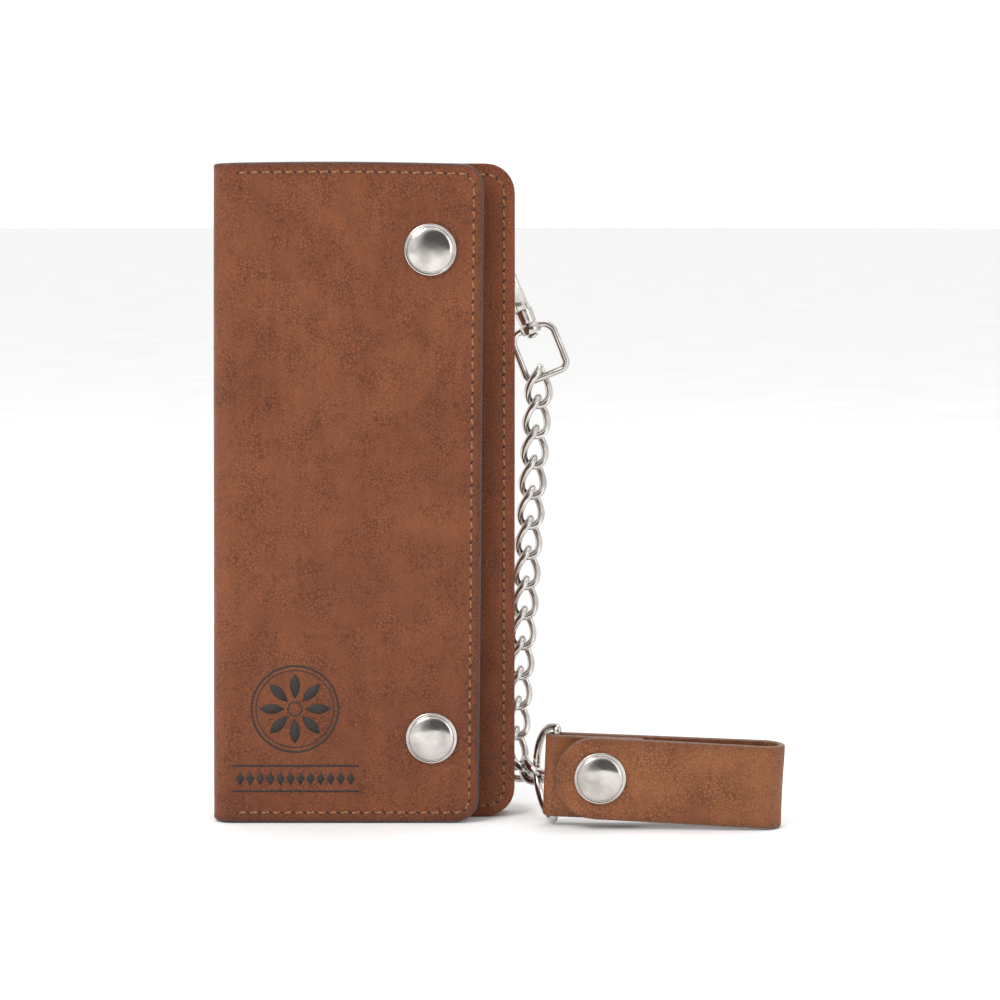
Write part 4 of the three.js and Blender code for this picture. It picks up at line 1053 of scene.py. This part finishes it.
# %% [markdown]
# ## Fifteen twisted links
# In a curb chain each oval is twisted a quarter turn between its ends, so the next link can lie
# square through it and the whole run hangs flat. One function bends the wire; a loop hangs each copy
# from the one before. The last two lead forward to the strap.

# %% Chain
PITCH = 9.05
LINK_HALF_LENGTH, LINK_HALF_WIDTH, LINK_RADIUS = 5.8, 3.8, 1.1
SHOULDERS = 0.92  # below 1 the oval gets squarer shoulders
HANGING, LEVEL = 13, 2  # links in the hanging run and in the level one


def link_points(steps=52):
    path, sides = [], []
    for k in range(steps):
        a = math.tau * k / steps
        z = LINK_HALF_LENGTH * math.sin(a)
        twist = math.pi / 4 * z / LINK_HALF_LENGTH
        x = LINK_HALF_WIDTH * math.copysign(abs(math.cos(a)) ** SHOULDERS, math.cos(a))
        path.append(Vector((x * math.cos(twist), x * math.sin(twist), z)))
        sides.append(Vector((-math.sin(twist), math.cos(twist), 0)))
    return path, sides


def hang(number, start, down, turn):
    up = -down
    facing = (Vector((0, -1, 0)) + up * up.y).normalized()
    aside = -facing.cross(up)
    basis = Matrix((aside, up.cross(aside), up)).transposed().to_4x4()
    turned_by = Matrix.Rotation(math.radians(turn), 4, "Z")
    place = Matrix.Translation(start + down * (PITCH / 2)) @ basis @ turned_by
    path, sides = link_points()
    path = [place @ p for p in path]
    sides = [place.to_3x3() @ s for s in sides]
    body = f"link_{number:02d}"
    metal_piece(body + "_wire", sweep(path, LINK_RADIUS, sides, 14, square=0.9), body, "chain_" + body)


chain_top = Vector((51.15866, 14.96255, 129.48801))
chain_down = Vector((-0.0646, -0.0476, -0.99678))
last_from = Vector((42.49692, 11.06871, 10.80631))
last_down = Vector((0.48365, -0.87252, 0.06922))
for k in range(HANGING):
    hang(k + 1, chain_top + chain_down * (k * PITCH), chain_down, 40 + 4 * k / (HANGING - 1))
for k in range(LEVEL):
    hang(HANGING + 1 + k, last_from + last_down * (k * PITCH), last_down, -20 - 4 * k)
print("chain length:", (HANGING + LEVEL) * PITCH, "mm")

# %% [markdown]
# ## The belt strap
# The strap goes round the ring's bar, back along the belt side, folds, and returns as a tab that
# snaps shut. Everything up to the fold stays with the strap; the fold and the tab are a second sheet,
# which is not tied to a body here.

# %% Strap
strap_place = Matrix.Translation((54.98971, -20.73799, 2.65)) @ Matrix.Rotation(0.040223, 4, "Y")
STRAP_WIDTH = 24
WRAP, TAB_Y, FOLD_AT, FOLD_MID, FOLD_R = 2.4, -7.8, 59.9, -2.7, 5.1
tab_path = [line((-0.3, TAB_Y), (FOLD_AT, TAB_Y)), bend((FOLD_AT, FOLD_MID), FOLD_R, -90, 90)]
strap_path = [
    line((FOLD_AT, WRAP), (0, WRAP)),
    bend((0, 0), WRAP, 90, 270, 15),
    line((0, -WRAP), (26, -WRAP)),
]


def limp(s, z):
    return 0.22 * math.sin(s / 9.0 + 1.0) * math.sin(math.pi * z / STRAP_WIDTH + 0.3)


tab_sheet = Sheet(
    tab_path, STRAP_WIDTH, (11.5, None), place=strap_place,
    lift=lambda s, z: 0.9 * max(0.0, 1 - s / 60.0),
    bulge=lambda s, z: -abs(limp(s, z)) * min(1, s / 20),
)
strap_sheet = Sheet(strap_path, STRAP_WIDTH, (None, 2.0), place=strap_place)
tab_skin = tab_sheet.build("strap_tab_leather", strap_leather, strap_edge, 20, slot="strap_leather")
strap_skin = strap_sheet.build("strap_leather_loop", strap_leather, strap_edge, 20, slot="strap_leather")
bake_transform(tab_skin)
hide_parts("strap_tab")
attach(strap_skin, "strap")
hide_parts("strap_back")
snap("strap_snap", strap_place @ Matrix.Translation((12.6, TAB_Y - 0.9, 13)), "strap_tab")

turn = math.radians(16)
BOW_DEPTH, BOW_HALF = 19, 13.45
bow_out = Vector((-math.sin(turn), math.cos(turn), 0))
loop = [(0, 0, STRAP_WIDTH / 2 + BOW_HALF), (0, 0, STRAP_WIDTH / 2 - BOW_HALF)]
for a in np.radians(np.arange(-84, 85, 6)):
    height = Vector((0, 0, STRAP_WIDTH / 2 + BOW_HALF * math.sin(a)))
    loop.append(tuple(bow_out * (BOW_DEPTH * math.cos(a)) + height))
loop = [strap_place @ p for p in filleted(loop, 1.5, 5)]
across = strap_place.to_3x3() @ bow_out.cross(Vector((0, 0, 1)))
metal_piece("strap_d_ring", sweep(loop, RING_WIRE, across, 18), "strap_ring", "strap_ring")
print("strap laid flat:", STRAP_WIDTH, "x", round(strap_sheet.length + tab_sheet.length, 1), "mm")

# %% [markdown]
# ## The floor and the light
# The object stands on pale paper. One broad lamp above and to the left models the leather,
# a weaker one fills from the right, and the even surroundings give the nickel something to reflect.

# %% Stage
FLOOR_Z = -0.0003  # metres, a hair under the object


def paper_floor(radius=9.0, sides=96):
    turns = [math.tau * k / sides for k in range(sides)]
    points = [(0, 0, FLOOR_Z)] + [(radius * math.cos(a), radius * math.sin(a), FLOOR_Z) for a in turns]
    mesh = bpy.data.meshes.new("paper")
    mesh.from_pydata(points, [], [(0, 1 + k, 1 + (k + 1) % sides) for k in range(sides)])
    paper, nodes, links, shader, where = new_finish("paper", 0.9)
    fibre = noise(nodes, links, where, 60, 3.0)
    tone = ramp(nodes, links, fibre, [(0.3, (0.9, 0.9, 0.895)), (0.7, (0.93, 0.93, 0.925))])
    links.new(tone, shader.inputs["Base Color"])
    shader.inputs["Specular IOR Level"].default_value = 0.1
    mesh.materials.append(paper)
    floor = bpy.data.objects.new("paper_floor", mesh)
    bpy.context.scene.collection.objects.link(floor)
    return floor


paper_floor()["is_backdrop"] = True


def lamp(name, at, aim, size, watts):
    data = bpy.data.lights.new(name, "AREA")
    data.shape, data.size, data.size_y = "RECTANGLE", size[0], size[1]
    data.energy = watts
    o = bpy.data.objects.new(name, data)
    o.location = at
    o.rotation_euler = (Vector(aim) - Vector(at)).to_track_quat("-Z", "Y").to_euler()
    bpy.context.scene.collection.objects.link(o)
    o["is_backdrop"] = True


middle = (0.03, 0.0, 0.09)
lamp("key", (-0.55, -0.75, 0.95), middle, (0.6, 0.6), 8)
lamp("fill", (0.9, -0.7, 0.35), middle, (0.5, 0.8), 1.5)
lamp("top", (0.15, 0.25, 1.1), middle, (0.8, 0.5), 3)
world = bpy.data.worlds.new("surroundings")
world.use_nodes = True
nodes, links = world.node_tree.nodes, world.node_tree.links
where = nodes.new("ShaderNodeTexCoord").outputs["Generated"]
towards = nodes.new("ShaderNodeVectorMath")
towards.operation = "DOT_PRODUCT"
towards.inputs[1].default_value = (0.24, -0.95, 0.2)  # where a dark card stands, for the nickel to mirror
links.new(where, towards.inputs[0])
card = spread(nodes, links, towards.outputs["Value"], 0.8, 0.95)
background = nodes["Background"].inputs
links.new(mixed(nodes, links, card, (1.0, 1.0, 1.0), (0.12, 0.12, 0.12)), background["Color"])
background["Strength"].default_value = 1.06
bpy.context.scene.world = world
bpy.context.scene.view_settings.view_transform = "Standard"
print("lamps:", len(bpy.data.lights))

# %% [markdown]
# ## The camera
# A long lens from just under a metre, level with the top of the wallet, keeps its edges nearly
# parallel and still shows a little of the floor in front.

# %% Camera
lens = bpy.data.cameras.new("camera")
lens.lens, lens.sensor_width = 113, 36
camera = bpy.data.objects.new("camera", lens)
camera.location = (0.0393, -0.9191, 0.190)
aim = Vector((0.0393, -0.0191, 0.0945))
camera.rotation_euler = (aim - camera.location).to_track_quat("-Z", "Y").to_euler()
lens.clip_start, lens.clip_end = 0.05, 20
bpy.context.scene.collection.objects.link(camera)
bpy.context.scene.camera = camera
print("camera distance:", round((aim - camera.location).length, 3), "m")

# %% [markdown]
# ## The finished size
# The size of the finished looks is printed in millimetres.

# %% Finish
low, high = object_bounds()
print("visual box in mm:", [round(v * 1000, 1) for v in high - low])
